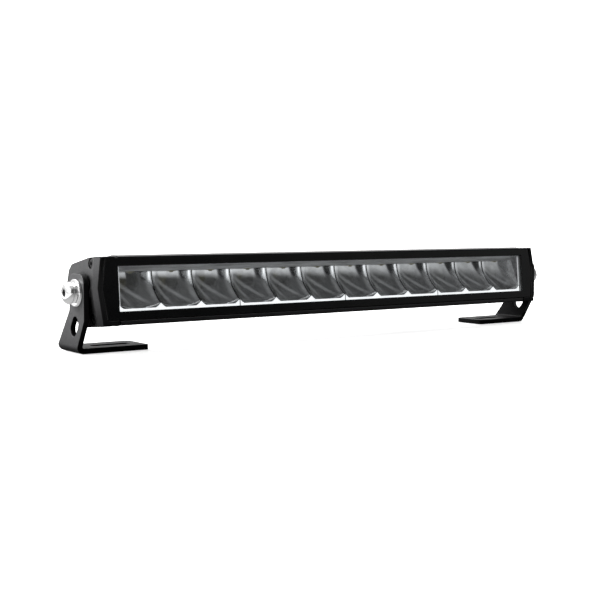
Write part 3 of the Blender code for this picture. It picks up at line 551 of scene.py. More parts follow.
def silicone_mat():
    """Pale silicone bead under the lens."""
    k = Mat("silicone_bead")
    k.base(k.mix(k.ramp(k.noise(700.0, 2.0), [(0.3, 0.0), (0.7, 1.0)]), (0.42, 0.42, 0.42), (0.55, 0.55, 0.55)))
    k.set(sss=0.0)
    k.rough(k.noise(900.0, 2.0), 0.4, 0.55)
    k.normal(k.bump(k.noise(1500.0, 1.0), 0.2, 0.00005))
    return k.m


def recess_mat():
    """Inside of a forged hex socket: rougher steel, its darker colour a painted shade in the recess."""
    k = Mat("socket_recess")
    grit = k.noise(1800.0, 3.0, 0.6)
    k.base(k.mix(k.ramp(grit, [(0.35, 0.0), (0.65, 1.0)]), (0.10, 0.10, 0.10), (0.22, 0.22, 0.22)))
    k.set(metal=0.8)
    k.rough(grit, 0.35, 0.55)
    k.normal(k.bump(grit, 0.3, 0.00005))
    return k.m


M = {
    # the feet and the caps get painted light and shade (their last argument); the two brackets share this material, yet
    # it paints the left one lighter and the right one darker
    "foot_steel": coated("powder_coated_steel", (0.022, 0.022, 0.023), (0.044, 0.044, 0.046), (0.42, 0.56),
                         1900.0, 0.00009, (0.22, 0.22, 0.225), 0.35, 0.0, 0.55, 0.00006, "foot"),
    "housing": coated("satin_black_extrusion", (0.012, 0.012, 0.013), (0.022, 0.022, 0.023), (0.26, 0.38),
                      2400.0, 0.00003, (0.30, 0.30, 0.31), 0.35, 0.25, 0.5),
    "end_cap": coated("matt_cast_cap", (0.024, 0.024, 0.025), (0.048, 0.048, 0.05), (0.46, 0.6),
                      1500.0, 0.00012, (0.20, 0.20, 0.205), 0.3, 0.0, 0.55, 0.00008, "cap"),
    "bezel": bezel_mat(),
    "lens": lens_mat(),
    "reflector": reflector_mat(),
    "light_guide": guide_mat(GUIDE_GLOW),
    # painted highlight: the end risers glow at 0.45, standing in for a glint
    "guide_end": guide_mat(0.45, "riser_painted_glint"),
    "inner_trim": trim_mat(),
    "white_board": board_mat("white_board", (0.72, 0.72, 0.70), (0.80, 0.80, 0.78)),
    "circuit_board": board_mat("green_board", (0.020, 0.085, 0.04), (0.03, 0.12, 0.055)),
    "led": led_mat(),
    "rubber": coated("gasket_rubber", (0.012, 0.012, 0.012), (0.03, 0.03, 0.03), (0.7, 0.85), 2600.0, 0.00004),
    "nylon": coated("moulded_nylon", (0.016, 0.016, 0.017), (0.034, 0.034, 0.035), (0.42, 0.58),
                    1700.0, 0.00006, (0.12, 0.12, 0.12), 0.3),
    # the bolts and washers carry a painted reflection on faces turned down
    "stainless": polished("polished_stainless", (0.84, 0.84, 0.84), (0.06, 0.16), painted_reflection_glow=0.5),
    "black_screw": coated("black_zinc", (0.006, 0.006, 0.006), (0.014, 0.014, 0.015), (0.4, 0.55),
                          3000.0, 0.00002, (0.2, 0.2, 0.2), 0.3, 0.3),
    "vent": coated("vent_plastic", (0.07, 0.07, 0.072), (0.11, 0.11, 0.112), (0.5, 0.62), 1900.0, 0.00005,
                   (0.2, 0.2, 0.2), 0.3),
    "silicone": silicone_mat(),
    "recess": recess_mat(),
    "cable": coated("cable_sheath", (0.010, 0.010, 0.010), (0.022, 0.022, 0.022), (0.36, 0.5), 1400.0, 0.00005),
}


# ===================================================================== shapes
def prism(pts, axis, a, b):
    def at(p, t):
        if axis == "X":
            return Vector((t, p[0], p[1]))
        if axis == "Y":
            return Vector((p[0], t, p[1]))
        return Vector((p[0], p[1], t))
    bm = bmesh.new()
    f = bm.faces.new([bm.verts.new(at(p, a)) for p in pts])
    res = bmesh.ops.extrude_face_region(bm, geom=[f])
    moved = [g for g in res["geom"] if isinstance(g, bmesh.types.BMVert)]
    bmesh.ops.translate(bm, vec=at((0.0, 0.0), b) - at((0.0, 0.0), a), verts=moved)
    bmesh.ops.recalc_face_normals(bm, faces=bm.faces)
    return bm


def box(x0, x1, y0, y1, z0, z1):
    return prism([(x0, y0), (x1, y0), (x1, y1), (x0, y1)], "Z", z0, z1)


def circle(c, r, seg, turn=0.0):
    return [(c[0] + r * math.cos(turn + 2 * math.pi * k / seg), c[1] + r * math.sin(turn + 2 * math.pi * k / seg))
            for k in range(seg)]


def cyl(axis, c, r, a, b, seg=48, turn=0.0):
    return prism(circle(c, r, seg, turn), axis, a, b)


def spin(profile, seg, c=(0.0, 0.0), axis="X"):
    """Profile of (along, radius) turned about an axis; ends on the axis or closes on itself."""
    def at(t, r, k):
        p = c[0] + r * math.cos(2 * math.pi * k / seg)
        q = c[1] + r * math.sin(2 * math.pi * k / seg)
        return (t, p, q) if axis == "X" else (p, t, q)
    bm = bmesh.new()
    rings = []
    for t, r in profile:
        rings.append([bm.verts.new(at(t, r, 0))] if r < 1e-6 else [bm.verts.new(at(t, r, k)) for k in range(seg)])
    closed = len(rings[0]) > 1
    n = len(rings)
    for i in range(n if closed else n - 1):
        a, b = rings[i], rings[(i + 1) % n]
        for k in range(seg):
            k2 = (k + 1) % seg
            if len(a) == 1:
                bm.faces.new((a[0], b[k], b[k2]))
            elif len(b) == 1:
                bm.faces.new((a[k], a[k2], b[0]))
            else:
                bm.faces.new((a[k], a[k2], b[k2], b[k]))
    bmesh.ops.recalc_face_normals(bm, faces=bm.faces)
    return bm


def combine(base, tools, op):
    me = bpy.data.meshes.new("base")
    base.to_mesh(me)
    base.free()
    ob = bpy.data.objects.new("base_work", me)
    bpy.context.scene.collection.objects.link(ob)
    extra = []
    for i, t in enumerate(tools):
        mt = bpy.data.meshes.new("tool")
        t.to_mesh(mt)
        t.free()
        ot = bpy.data.objects.new("tool_work_%d" % i, mt)
        bpy.context.scene.collection.objects.link(ot)
        ot.hide_render = True
        extra.append(ot)
        md = ob.modifiers.new("cut_%d" % i, "BOOLEAN")
        md.operation = op
        md.solver = "EXACT"
        md.object = ot
    out = bmesh.new()
    out.from_object(ob, bpy.context.evaluated_depsgraph_get())
    bpy.data.objects.remove(ob, do_unlink=True)
    for ot in extra:
        bpy.data.objects.remove(ot, do_unlink=True)
    bmesh.ops.remove_doubles(out, verts=out.verts, dist=0.0002)
    bmesh.ops.dissolve_degenerate(out, edges=out.edges, dist=0.0002)
    return out


def fillet(pts, radii, seg=8):
    """Round the corners of a polygon; a radius is cut back where the sides are short."""
    out = []
    n = len(pts)
    for i in range(n):
        p = Vector(pts[i])
        r = radii[i] if isinstance(radii, (list, tuple)) else radii
        va, vb = Vector(pts[i - 1]) - p, Vector(pts[(i + 1) % n]) - p
        if r <= 0 or min(va.length, vb.length) < 1e-6:
            out.append((p.x, p.y))
            continue
        a, b = va.normalized(), vb.normalized()
        ang = a.angle(b)
        if ang > math.radians(176):
            out.append((p.x, p.y))
            continue
        d = min(r / math.tan(ang / 2), 0.45 * va.length, 0.45 * vb.length)
        r = d * math.tan(ang / 2)
        c = p + (a + b).normalized() * (r / math.sin(ang / 2))
        s, e = p + a * d, p + b * d
        a0 = math.atan2(s.y - c.y, s.x - c.x)
        da = (math.atan2(e.y - c.y, e.x - c.x) - a0 + math.pi) % (2 * math.pi) - math.pi
        for k in range(seg + 1):
            t = a0 + da * k / seg
            out.append((c.x + r * math.cos(t), c.y + r * math.sin(t)))
    return out


def slot_poly(p, q, r, seg=16):
    p, q = Vector(p), Vector(q)
    d = (q - p).normalized()
    base = math.atan2(d.y, d.x)
    out = []
    for c, s in ((q, -math.pi / 2), (p, math.pi / 2)):
        for k in range(seg + 1):
            t = base + s + math.pi * k / seg
            out.append((c.x + r * math.cos(t), c.y + r * math.sin(t)))
    return out


def cut_plane(bm, co, no):
    geom = list(bm.verts) + list(bm.edges) + list(bm.faces)
    res = bmesh.ops.bisect_plane(bm, geom=geom, dist=1e-5, plane_co=co, plane_no=no, clear_outer=True)
    edges = [e for e in res["geom_cut"] if isinstance(e, bmesh.types.BMEdge)]
    if edges:
        bmesh.ops.contextual_create(bm, geom=edges)


def mirrored(bm):
    out = bm.copy()
    bmesh.ops.scale(out, vec=(-1, 1, 1), verts=out.verts)
    bmesh.ops.reverse_faces(out, faces=out.faces)
    return out


def tube(path, r, seg=24, caps=True):
    bm = bmesh.new()
    rings = []
    up = Vector((0, 0, 1))
    for i, p in enumerate(path):
        d = Vector()
        if i:
            d += (path[i] - path[i - 1]).normalized()
        if i < len(path) - 1:
            d += (path[i + 1] - path[i]).normalized()
        d.normalize()
        side = d.cross(up).normalized()
        rr = r[i] if isinstance(r, (list, tuple)) else r
        rings.append([bm.verts.new(p + side * (rr * math.cos(2 * math.pi * k / seg)) +
                                   up * (rr * math.sin(2 * math.pi * k / seg))) for k in range(seg)])
    for a, b in zip(rings, rings[1:]):
        for k in range(seg):
            k2 = (k + 1) % seg
            bm.faces.new((a[k], a[k2], b[k2], b[k]))
    if caps:
        bm.faces.new(rings[0])
        bm.faces.new(list(reversed(rings[-1])))
    bmesh.ops.recalc_face_normals(bm, faces=bm.faces)
    return bm


def piece(name, bm, body, slot, mat, replaces=(), place=LAMP, bevel=0.0, sharp=28.0, seg=2):
    """bmesh in millimetres -> finished object riding on a body."""
    bmesh.ops.remove_doubles(bm, verts=bm.verts, dist=0.00005)
    bmesh.ops.recalc_face_normals(bm, faces=bm.faces)
    bmesh.ops.transform(bm, matrix=place, verts=bm.verts)
    lim = math.radians(sharp)
    for f in bm.faces:
        f.smooth = True
    for e in bm.edges:
        hard = len(e.link_faces) != 2 or e.calc_face_angle(0.0) > lim
        e.smooth = not hard or bevel > 0.0 and len(e.link_faces) == 2 and e.calc_face_angle(0.0) > math.radians(30)
    me = bpy.data.meshes.new(name)
    bm.to_mesh(me)
    bm.free()
    ob = bpy.data.objects.new(name, me)
    bpy.context.scene.collection.objects.link(ob)
    me.materials.append(mat)
    if bevel > 0.0:
        md = ob.modifiers.new("soft_edges", "BEVEL")
        md.width = bevel * MM
        md.segments = seg
        md.limit_method = "ANGLE"
        md.angle_limit = math.radians(30)
        md.use_clamp_overlap = False
        md.miter_outer = "MITER_ARC"
        md.harden_normals = True
    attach(ob, body)
    if replaces:
        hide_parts(*replaces)
    return ob


def both(name, bm, slot, mat, **kw):
    """Right piece as drawn and its mirror image, standing for NAME_right and NAME_left."""
    left = mirrored(bm)
    for side, b in (("right", bm), ("left", left)):
        piece("look_%s_%s" % (name, side), b, "lamp", slot, mat, replaces=("%s_%s" % (name, side),), **kw)


# =================================================================== brackets
def bracket():
    xo = -LEG_OUT
    xi = xo + PLATE
    xe = xo + FOOT_LEN
    ro = BEND_IN + PLATE
    section = [(xo, LEG_TOP + 5)]
    for k in range(17):
        t = math.pi + (math.pi / 2) * k / 16
        section.append((xo + ro + ro * math.cos(t), ro + ro * math.sin(t)))
    section += [(xe, 0.0), (xe, PLATE)]
    for k in range(11):
        t = math.pi * 1.5 - (math.pi / 2) * k / 10
        section.append((xi + BEND_IN + BEND_IN * math.cos(t), PLATE + BEND_IN + BEND_IN * math.sin(t)))
    section.append((xi, LEG_TOP + 5))
    sheet = prism(section, "Y", -30.0, 60.0)
    leg = [(FOOT_Y0, -3.0), (FOOT_Y1, -3.0), (FOOT_Y1, 5.5), (LEG_Y1, 35.0), (LEG_Y1, LEG_TOP),
           (LEG_Y0, LEG_TOP), (LEG_Y0, 27.8), (FOOT_Y0, 4.2)]
    side = prism(fillet(leg, [0, 0, 3.0, 7.0, 8.0, 8.0, 4.0, 2.0], 12), "X", -300.0, -150.0)
    front = fillet([(-290.0, FOOT_Y0 - 40), (xo + 10, FOOT_Y0 - 40), (xo + 10, FOOT_Y0), (xe, FOOT_Y0),
                    (xe, FOOT_Y1), (xo + 10, FOOT_Y1), (xo + 10, 70.0), (-290.0, 70.0)],
                   [0, 0, 0, 2.5, 7.0, 0, 0, 0], 12)
    plan = prism(front, "Z", -20.0, 100.0)
    body = combine(sheet, [side, plan], "INTERSECT")
    pivot = cyl("X", (0.0, AXIS_Z), BOLT_R + 0.4, -270.0, -240.0, 56)
    s1 = prism(slot_poly((3.1, AXIS_Z - 24.9), (6.7, AXIS_Z - 30.0), 5.5), "X", -270.0, -240.0)
    s2 = prism(slot_poly((-232.0, SLOT_Y), (-205.0, SLOT_Y), 4.5), "Z", -10.0, 10.0)
    return combine(body, [pivot, s1, s2], "DIFFERENCE")


# ==================================================================== housing
def housing():
    p = [(FRONT + 0.2, 26.9), (FRONT + 0.2, 26.5), (-17.2, 26.5), (-17.2, 24.4), (-15.7, 24.4),
         (-15.7, 19.9), (-4.4, 19.9), (-4.4, 17.5), (13.6, 17.5),
         (13.6, -17.6), (-5.5, -17.6), (-15.7, -17.6), (-15.7, -22.4), (-17.2, -22.4),
         (-17.2, -24.2), (FRONT + 0.2, -24.2), (FRONT + 0.2, FACE_BOT + 0.2), (13.4, FACE_BOT + 0.2)]
    env = [(FACE_BOT + 0.2, 13.4), (-21.6, 21.3), (-11.8, 25.7), (10.0, 31.2), (18.9, 30.2), (23.6, 25.4)]

    def depth(w):
        for (w0, v0), (w1, v1) in zip(env, env[1:]):
            if w0 <= w <= w1:
                return v0 + (v1 - v0) * (w - w0) / (w1 - w0)
        return env[-1][1]
    root = 16.4
    for c, t in [(-20.6, 1.8), (-14.4, 1.8), (-3.0, 7.4), (8.6, 1.8), (14.4, 1.8), (20.4, 1.8)]:
        lo, hi = c - t / 2, c + t / 2
        p += [(root, lo), (depth(lo) - 0.4, lo), (depth(hi) - 0.4, hi), (root, hi)]
    p += [(root, 24.4), (5.0, 27.0), (-2.0, 28.3), (-8.5, 28.8), (-14.5, 28.4), (-18.6, 27.6)]
    body = prism(fillet(p, 0.7, 4), "X", -BODY_X, BODY_X)
    tools = []
    for _n, v, w in SCREW_HOLES:
        for s in (-1, 1):
            tools.append(cyl("X", (v, w), 2.2, s * (BODY_X - 16.0), s * (BODY_X + 5.0), 24))
    body = combine(body, tools, "DIFFERENCE")
    pads = [prism(fillet([(140.0, -11.5), (160.0, -11.5), (160.0, 6.0), (140.0, 6.0)], 2.5, 8), "Y", 15.0, 29.0),
            prism(fillet([(-158.0, -10.5), (-142.0, -10.5), (-142.0, 5.0), (-158.0, 5.0)], 2.5, 8), "Y", 15.0, 29.0)]
    body = combine(body, pads, "UNION")
    holes = [cyl("Y", (150.0, -3.0), 4.2, 10.0, 35.0, 36), cyl("Y", (-150.0, -3.0), 2.6, 10.0, 35.0, 28)]
    return combine(body, holes, "DIFFERENCE")


def end_x(w, base, drop):
    span = (FACE_TOP - RIDGE_W) if w > RIDGE_W else (RIDGE_W - FACE_BOT)
    return base - drop * abs(w - RIDGE_W) / span


def end_cap():
    outline = [(FRONT, FACE_BOT), (14.0, FACE_BOT), (22.0, -22.0), (26.5, -12.0), (32.0, 10.0),
               (31.0, 19.3), (25.8, 24.1), (-5.7, FACE_TOP), (FRONT, FACE_TOP)]
    bm = prism(fillet(outline, [1.2, 3.0, 3.0, 4.0, 2.5, 2.5, 3.0, 14.0, 1.2], 8), "X", CAP_IN, CAP_OUT + 20.0)
    up, dn = FACE_TOP - RIDGE_W, RIDGE_W - FACE_BOT
    n_up = Vector((up, 0.0, CAP_DROP)).normalized()
    n_dn = Vector((dn, 0.0, -CAP_DROP)).normalized()
    ridge = Vector((CAP_OUT, 0.0, RIDGE_W))
    cut_plane(bm, ridge, n_up)
    cut_plane(bm, ridge, n_dn)
    run = CAP_RUN
    for sgn, h in ((1, up), (-1, dn)):
        a = Vector((CAP_OUT, FRONT + CAP_CHAMFER, RIDGE_W))
        b = Vector((CAP_OUT - CAP_DROP, FRONT + CAP_CHAMFER, RIDGE_W + sgn * h))
        c = Vector((CAP_OUT - run, FRONT, RIDGE_W))
        nrm = (b - a).cross(c - a).normalized()
        cut_plane(bm, a, nrm if nrm.x > 0 else -nrm)
    bmesh.ops.recalc_face_normals(bm, faces=bm.faces)
    xb = lambda w: end_x(w, CAP_OUT - RIM, CAP_DROP)
    tools = [prism([(CAP_IN - 5.0, -24.0), (xb(-24.0), -24.0), (xb(RIDGE_W), RIDGE_W), (xb(26.4), 26.4),
                    (CAP_IN - 5.0, 26.4)], "Y", FRONT - 5.0, -17.2),
             box(CAP_IN - 6.0, WIN_X + 3.4, -19.0, -15.7, WIN_BOT - 3.4, WIN_TOP + 3.4)]
    for _n, v, w in SCREW_HOLES:
        xw = end_x(w, CAP_OUT, CAP_DROP)
        tools.append(cyl("X", (v, w), 2.3, CAP_IN - 5.0, xw + 8.0, 32))
        tools.append(cyl("X", (v, w), 4.3, xw - 4.6, xw + 8.0, 40))
    body = combine(bm, tools, "DIFFERENCE")
    body = combine(body, [cyl("X", (0.0, 0.0), PAD_R, 243.0, CAP_OUT + PAD_H, 64)], "UNION")
    return combine(body, [cyl("X", (0.0, 0.0), BUSH_R + 0.3, BUSH_IN - 0.1, CAP_OUT + 5.0, 64),
                          cyl("X", (0.0, 0.0), BOLT_R + 0.05, 239.0, CAP_OUT + 5.0, 48)], "DIFFERENCE")


# ================================================================= lamp front
def bezel():
    xb = lambda w: end_x(w, CAP_OUT - RIM - 0.4, CAP_DROP)
    t, b = 26.1, -23.8
    outer = [(-xb(b), b), (xb(b), b), (xb(RIDGE_W), RIDGE_W), (xb(t), t), (-xb(t), t), (-xb(RIDGE_W), RIDGE_W)]
    bm = prism(fillet(outer, [1.0, 1.0, 0, 1.0, 1.0, 0], 6), "Y", FRONT + 0.3, -17.5)
    win = prism(fillet([(-WIN_X, WIN_BOT), (WIN_X, WIN_BOT), (WIN_X, WIN_TOP), (-WIN_X, WIN_TOP)], 0.8, 6),
                "Y", FRONT - 5.0, -10.0)
    rebate = prism([(-WIN_X - 3.6, WIN_BOT - 3.4), (WIN_X + 3.6, WIN_BOT - 3.4), (WIN_X + 3.6, WIN_TOP + 3.4),
                    (-WIN_X - 3.6, WIN_TOP + 3.4)], "Y", LENS_FRONT - 0.3, -10.0)
    return combine(bm, [win, rebate], "DIFFERENCE")


def lens():
    m = 3.1
    pts = fillet([(-WIN_X - m, WIN_BOT - m), (WIN_X + m, WIN_BOT - m), (WIN_X + m, WIN_TOP + m),
                  (-WIN_X - m, WIN_TOP + m)], 1.5, 6)
    return prism(pts, "Y", LENS_FRONT, LENS_FRONT + LENS_T)


def bowl_depth(dx, h):
    q = BOWL_Q + (BOWL_P - BOWL_Q) * min(1.0, (2.0 * dx / PITCH) ** 2)
    g = (abs(dx) / BOWL_A) ** BOWL_P + (max(h, 0.0) / (BOWL_TOP - BOWL_BOT)) ** q
    return BOWL_BACK - (BOWL_BACK - (GUIDE_FRONT + 0.9)) * g ** (2.0 / BOWL_P)


def reflector(i):
    """Three bowls in one thin moulding; the crests between bowls are rounded over."""
    wall = 1.3
    front_v = GUIDE_FRONT + 0.9
    x0 = -CELLS * PITCH / 2 + i * MODULE_CELLS * PITCH
    lo = x0 + (0.15 if i else 1.0)
    hi = x0 + MODULE_CELLS * PITCH - (0.15 if i < 3 else 1.0)
    nx, nw = 44, 40
    crest = 0.45
    xs = []
    for c in range(MODULE_CELLS):
        for k in range(nx):
            # points crowd towards the crests
            t = k / nx
            t = 0.5 - 0.5 * math.cos(math.pi * t) * (1.0 - 0.12 * math.sin(math.pi * t) ** 2)
            xs.append(x0 + (c + t) * PITCH)
    xs.append(x0 + MODULE_CELLS * PITCH)
    xs = [x for x in xs if lo < x < hi]
    xs = [lo] + xs + [hi]
    ws = [BOWL_TOP - (BOWL_TOP - BOWL_BOT) * (k / nw) for k in range(nw + 1)]
    half = PITCH / 2
    bm = bmesh.new()
    front, back = [], []
    for x in xs:
        c = min(max(int((x - x0) / PITCH), 0), MODULE_CELLS - 1)
        dx = abs(x - (x0 + (c + 0.5) * PITCH))
        cf, cb = [], []
        for w in ws:
            h = BOWL_TOP - w
            v = bowl_depth(dx, h)
            near = half - dx
            if near < crest:
                # parabola that meets the bowl's slope and is level at the crest
                v0 = bowl_depth(half - crest, h)
                slope = (bowl_depth(half - crest, h) - bowl_depth(half - crest - 0.05, h)) / 0.05
                u = 1.0 - near / crest
                v = v0 + slope * crest * (u - 0.5 * u * u)
            v = max(v, front_v)
            cf.append(bm.verts.new((x, v, w)))
            cb.append(bm.verts.new((x, v + wall, w)))
        front.append(cf)
        back.append(cb)
    n, m = len(xs), len(ws)
    for a in range(n - 1):
        for b in range(m - 1):
            bm.faces.new((front[a][b], front[a][b + 1], front[a + 1][b + 1], front[a + 1][b]))
            bm.faces.new((back[a][b], back[a + 1][b], back[a + 1][b + 1], back[a][b + 1]))
    for a in range(n - 1):
        for b in (0, m - 1):
            bm.faces.new((front[a][b], front[a + 1][b], back[a + 1][b], back[a][b]))
    for b in range(m - 1):
        for a in (0, n - 1):
            bm.faces.new((front[a][b], front[a][b + 1], back[a][b + 1], back[a][b]))
    bmesh.ops.recalc_face_normals(bm, faces=bm.faces)
    return bm


CUSP_W = 4.7
CUSP_H = 3.5


def light_guide(i):
    x0 = -CELLS * PITCH / 2 + i * MODULE_CELLS * PITCH
    lo = x0 + (0.15 if i else 0.7)
    hi = x0 + MODULE_CELLS * PITCH - (0.15 if i < 3 else 0.7)
    top = BOWL_BOT
    n = 14
    steps = [CUSP_W * (k / n) ** 1.4 for k in range(n + 1)]

    def flank(d):
        return top + CUSP_H * max(1.0 - d / CUSP_W, 0.0) ** 1.5
    pts = [(lo, WIN_BOT + 0.1), (hi, WIN_BOT + 0.1)]
    edge = []
    for c in range(MODULE_CELLS + 1):
        xb = x0 + c * PITCH
        if c > 0:
            least = xb - hi if c == MODULE_CELLS else 0.0
            edge += [(xb - d, flank(d)) for d in reversed(steps) if d > least + 0.02]
            edge.append((xb - least, flank(least)))
        if c < MODULE_CELLS:
            least = lo - xb if c == 0 else 0.0
            if c == 0:
                edge.append((xb + least, flank(least)))
            edge += [(xb + d, flank(d)) for d in steps if d > least + 0.02]
    pts += list(reversed(edge))
    plate = prism(pts, "Y", GUIDE_FRONT, GUIDE_FRONT + 0.7)
    bar = box(lo + 0.1, hi - 0.1, GUIDE_FRONT + 0.35, -8.0, WIN_BOT + 0.2, BOWL_BOT - 0.3)
    return combine(plate, [bar], "UNION")


def trim():
    e = WIN_X - 0.45
    band = box(-e + 0.4, e - 0.4, -6.8, -5.5, BOWL_TOP + 0.3, WIN_TOP - 0.2)
    near = LENS_FRONT + LENS_T + 0.3
    side = [(GUIDE_FRONT + 1.1, BOWL_BOT + 0.1), (6.5, BOWL_BOT + 0.1), (6.5, 17.0), (-5.0, 17.0),
            (-5.0, WIN_TOP - 0.1), (near, WIN_TOP - 0.1), (near, -10.6), (GUIDE_FRONT + 1.1, -10.6)]
    plates = []
    for s in (-1, 1):
        a, b = sorted((s * e, s * (e - 1.2)))
        plates.append(prism(side, "X", a, b))
    lining = box(-e + 0.4, e - 0.4, near + 0.2, -6.0, WIN_TOP - 0.45, WIN_TOP - 0.2)
    return combine(band, plates + [lining], "UNION")


def guide_ends():
    """Thin risers of the light guide up both ends of the window; their glow is a painted highlight standing in for a
    glint along the window's ends.
    """
    parts = []
    for s in (-1, 1):
        a, b = s * (CELLS * PITCH / 2 - 1.35), s * (CELLS * PITCH / 2 - 0.75)
        x = sorted((a, b))
        parts.append(box(x[0], x[1], GUIDE_FRONT, GUIDE_FRONT + 0.6, BOWL_BOT + 2.5, 18.6))
    return combine(parts[0], parts[1:], "UNION")


# ================================================================== fasteners
def round_over(x0, r0, x1, r1, n=6):
    """Quarter curve from (x0, r0) to (x1, r1), level at its start."""
    out = []
    for k in range(n + 1):
        t = (math.pi / 2) * k / n
        out.append((x0 + (x1 - x0) * math.sin(t), r1 + (r0 - r1) * math.cos(t)))
    return out


def cap_screw(v, w):
    xh = end_x(w, CAP_OUT, CAP_DROP) - 4.6 + 0.3
    prof = [(BODY_X - 14.0, 0.0), (BODY_X - 14.0, 1.6), (BODY_X - 13.4, 1.95), (xh, 1.95), (xh, 3.5)]
    prof += round_over(xh + 3.1, 3.5, xh + 3.7, 2.9, 5)
    prof += [(xh + 3.7, 0.0)]
    bm = spin(prof, 48, (v, w))
    return combine(bm, [cyl("X", (v, w), 1.75, xh + 1.7, xh + 8.0, 6)], "DIFFERENCE")


def pivot_bolt():
    x0 = LEG_OUT + 0.3 + 2.0 + 0.3 + 2.6 + 0.3
    prof = [(241.0, 0.0), (241.0, BOLT_R - 1.2), (242.2, BOLT_R - 0.12), (x0, BOLT_R - 0.12), (x0, HEAD_R - 0.35)]
    prof += [(x0 + 0.1, HEAD_R - 0.1), (x0 + 0.35, HEAD_R), (x0 + 0.7, HEAD_R)]
    n = 18
    for k in range(1, n + 1):
        t = (math.pi / 2) * k / n
        prof.append((x0 + 0.9 + (HEAD_H - 0.9) * math.sin(t * 0.93) / math.sin(math.pi / 2 * 0.93),
                     4.35 + (HEAD_R - 4.35) * math.cos(t)))
    prof.append((x0 + HEAD_H, 0.0))
    bm = spin(prof, 96)
    rs = SOCKET_AF / math.sqrt(3.0)
    hexa = cyl("X", (0.0, 0.0), rs, x0 + HEAD_H - 3.1, x0 + HEAD_H + 5.0, 6, turn=math.radians(8))
    cone = spin([(x0 + HEAD_H - 0.5, 0.0), (x0 + HEAD_H - 0.5, rs - 0.42), (x0 + HEAD_H + 0.4, rs + 0.42),
                 (x0 + HEAD_H + 0.4, 0.0)], 64)
    return combine(bm, [hexa, cone], "DIFFERENCE")


def flat_washer():
    a = LEG_OUT + 0.3
    prof = [(a, 5.35), (a, WASHER_R - 0.1), (a + 0.1, WASHER_R)]
    prof += round_over(a + 1.4, WASHER_R, a + 2.0, WASHER_R - 0.6, 5)
    prof += [(a + 2.0, 5.5), (a + 1.85, 5.35)]
    return spin(prof, 96)


def spring_washer():
    a = LEG_OUT + 0.3 + 2.0 + 0.3
    prof = [(a, 5.45), (a, 8.1), (a + 0.25, 8.3), (a + 2.3, 8.3), (a + 2.6, 8.05), (a + 2.6, 5.5), (a + 2.4, 5.3),
            (a + 0.2, 5.3)]
    ring = spin(prof, 72)
    cut = prism([(a - 2.0, -2.4), (a - 2.0, -0.6), (a + 4.6, 2.2), (a + 4.6, 0.4)], "Z", 0.0, 20.0)
    return combine(ring, [cut], "DIFFERENCE")


def bush():
    a = BUSH_IN
    b = LEG_OUT - PLATE - 0.1
    return spin([(a, 5.4), (a, BUSH_R - 0.1), (a + 0.1, BUSH_R), (b - 0.1, BUSH_R), (b, BUSH_R - 0.1), (b, 5.4)], 64)


# ======================================================================= rear
def vent():
    prof = [(20.0, 0.0), (20.0, 2.3), (29.2, 2.3), (29.2, 5.85), (29.35, 6.0)]
    prof += round_over(30.8, 6.0, 31.6, 5.2, 6)
    prof += [(31.6, 3.4), (31.2, 3.2), (31.2, 0.0)]
    bm = spin(prof, 64, (-150.0, -3.0), "Y")
    cuts = []
    for k in range(12):
        a = 2 * math.pi * k / 12
        c = (-150.0 + 6.15 * math.cos(a), -3.0 + 6.15 * math.sin(a))
        cuts.append(cyl("Y", c, 0.55, 29.8, 33.0, 10))
    return combine(bm, cuts, "DIFFERENCE")


def gland():
    hexa = prism(fillet(circle((150.0, -3.0), 8.1, 6), 0.6, 4), "Y", 29.3, 33.3)
    prof = [(33.2, 0.0), (33.2, 6.6), (34.0, 6.6)]
    prof += round_over(37.2, 6.35, 39.0, 4.2, 10)
    prof += [(39.0, 0.0)]
    nut = spin(prof, 72, (150.0, -3.0), "Y")
    stem = cyl("Y", (150.0, -3.0), 3.9, 18.0, 30.0, 40)
    body = combine(hexa, [stem, nut], "UNION")
    cuts = [cyl("Y", (150.0, -3.0), 3.0, 10.0, 50.0, 40)]
    for k in range(18):
        a = 2 * math.pi * k / 18
        cuts.append(cyl("Y", (150.0 + 6.85 * math.cos(a), -3.0 + 6.85 * math.sin(a)), 0.5, 34.0, 45.0, 10))
    return combine(body, cuts, "DIFFERENCE")


def cable():
    r = 9.0
    y0 = LEAD_V - r
    pts = [Vector((150.0, 19.0, -3.0)), Vector((150.0, y0 - 0.5, -3.0)), Vector((150.0, y0, -3.0))]
    n = 28
    for k in range(1, n + 1):
        t = (math.pi / 2) * k / n
        pts.append(Vector((150.0 - r + r * math.cos(t), y0 + r * math.sin(t), -3.0)))
    # a long span with a slight natural wander, straight at both ends
    for k in range(1, 31):
        u = k / 30
        x = (150.0 - r) + (57.0 - 150.0 + r) * u
        wander = math.sin(math.pi * u) ** 2
        pts.append(Vector((x, LEAD_V + 0.5 * wander * math.sin(5.0 * u), -3.0 - 1.2 * wander)))
    return tube(pts, 2.7, 32)


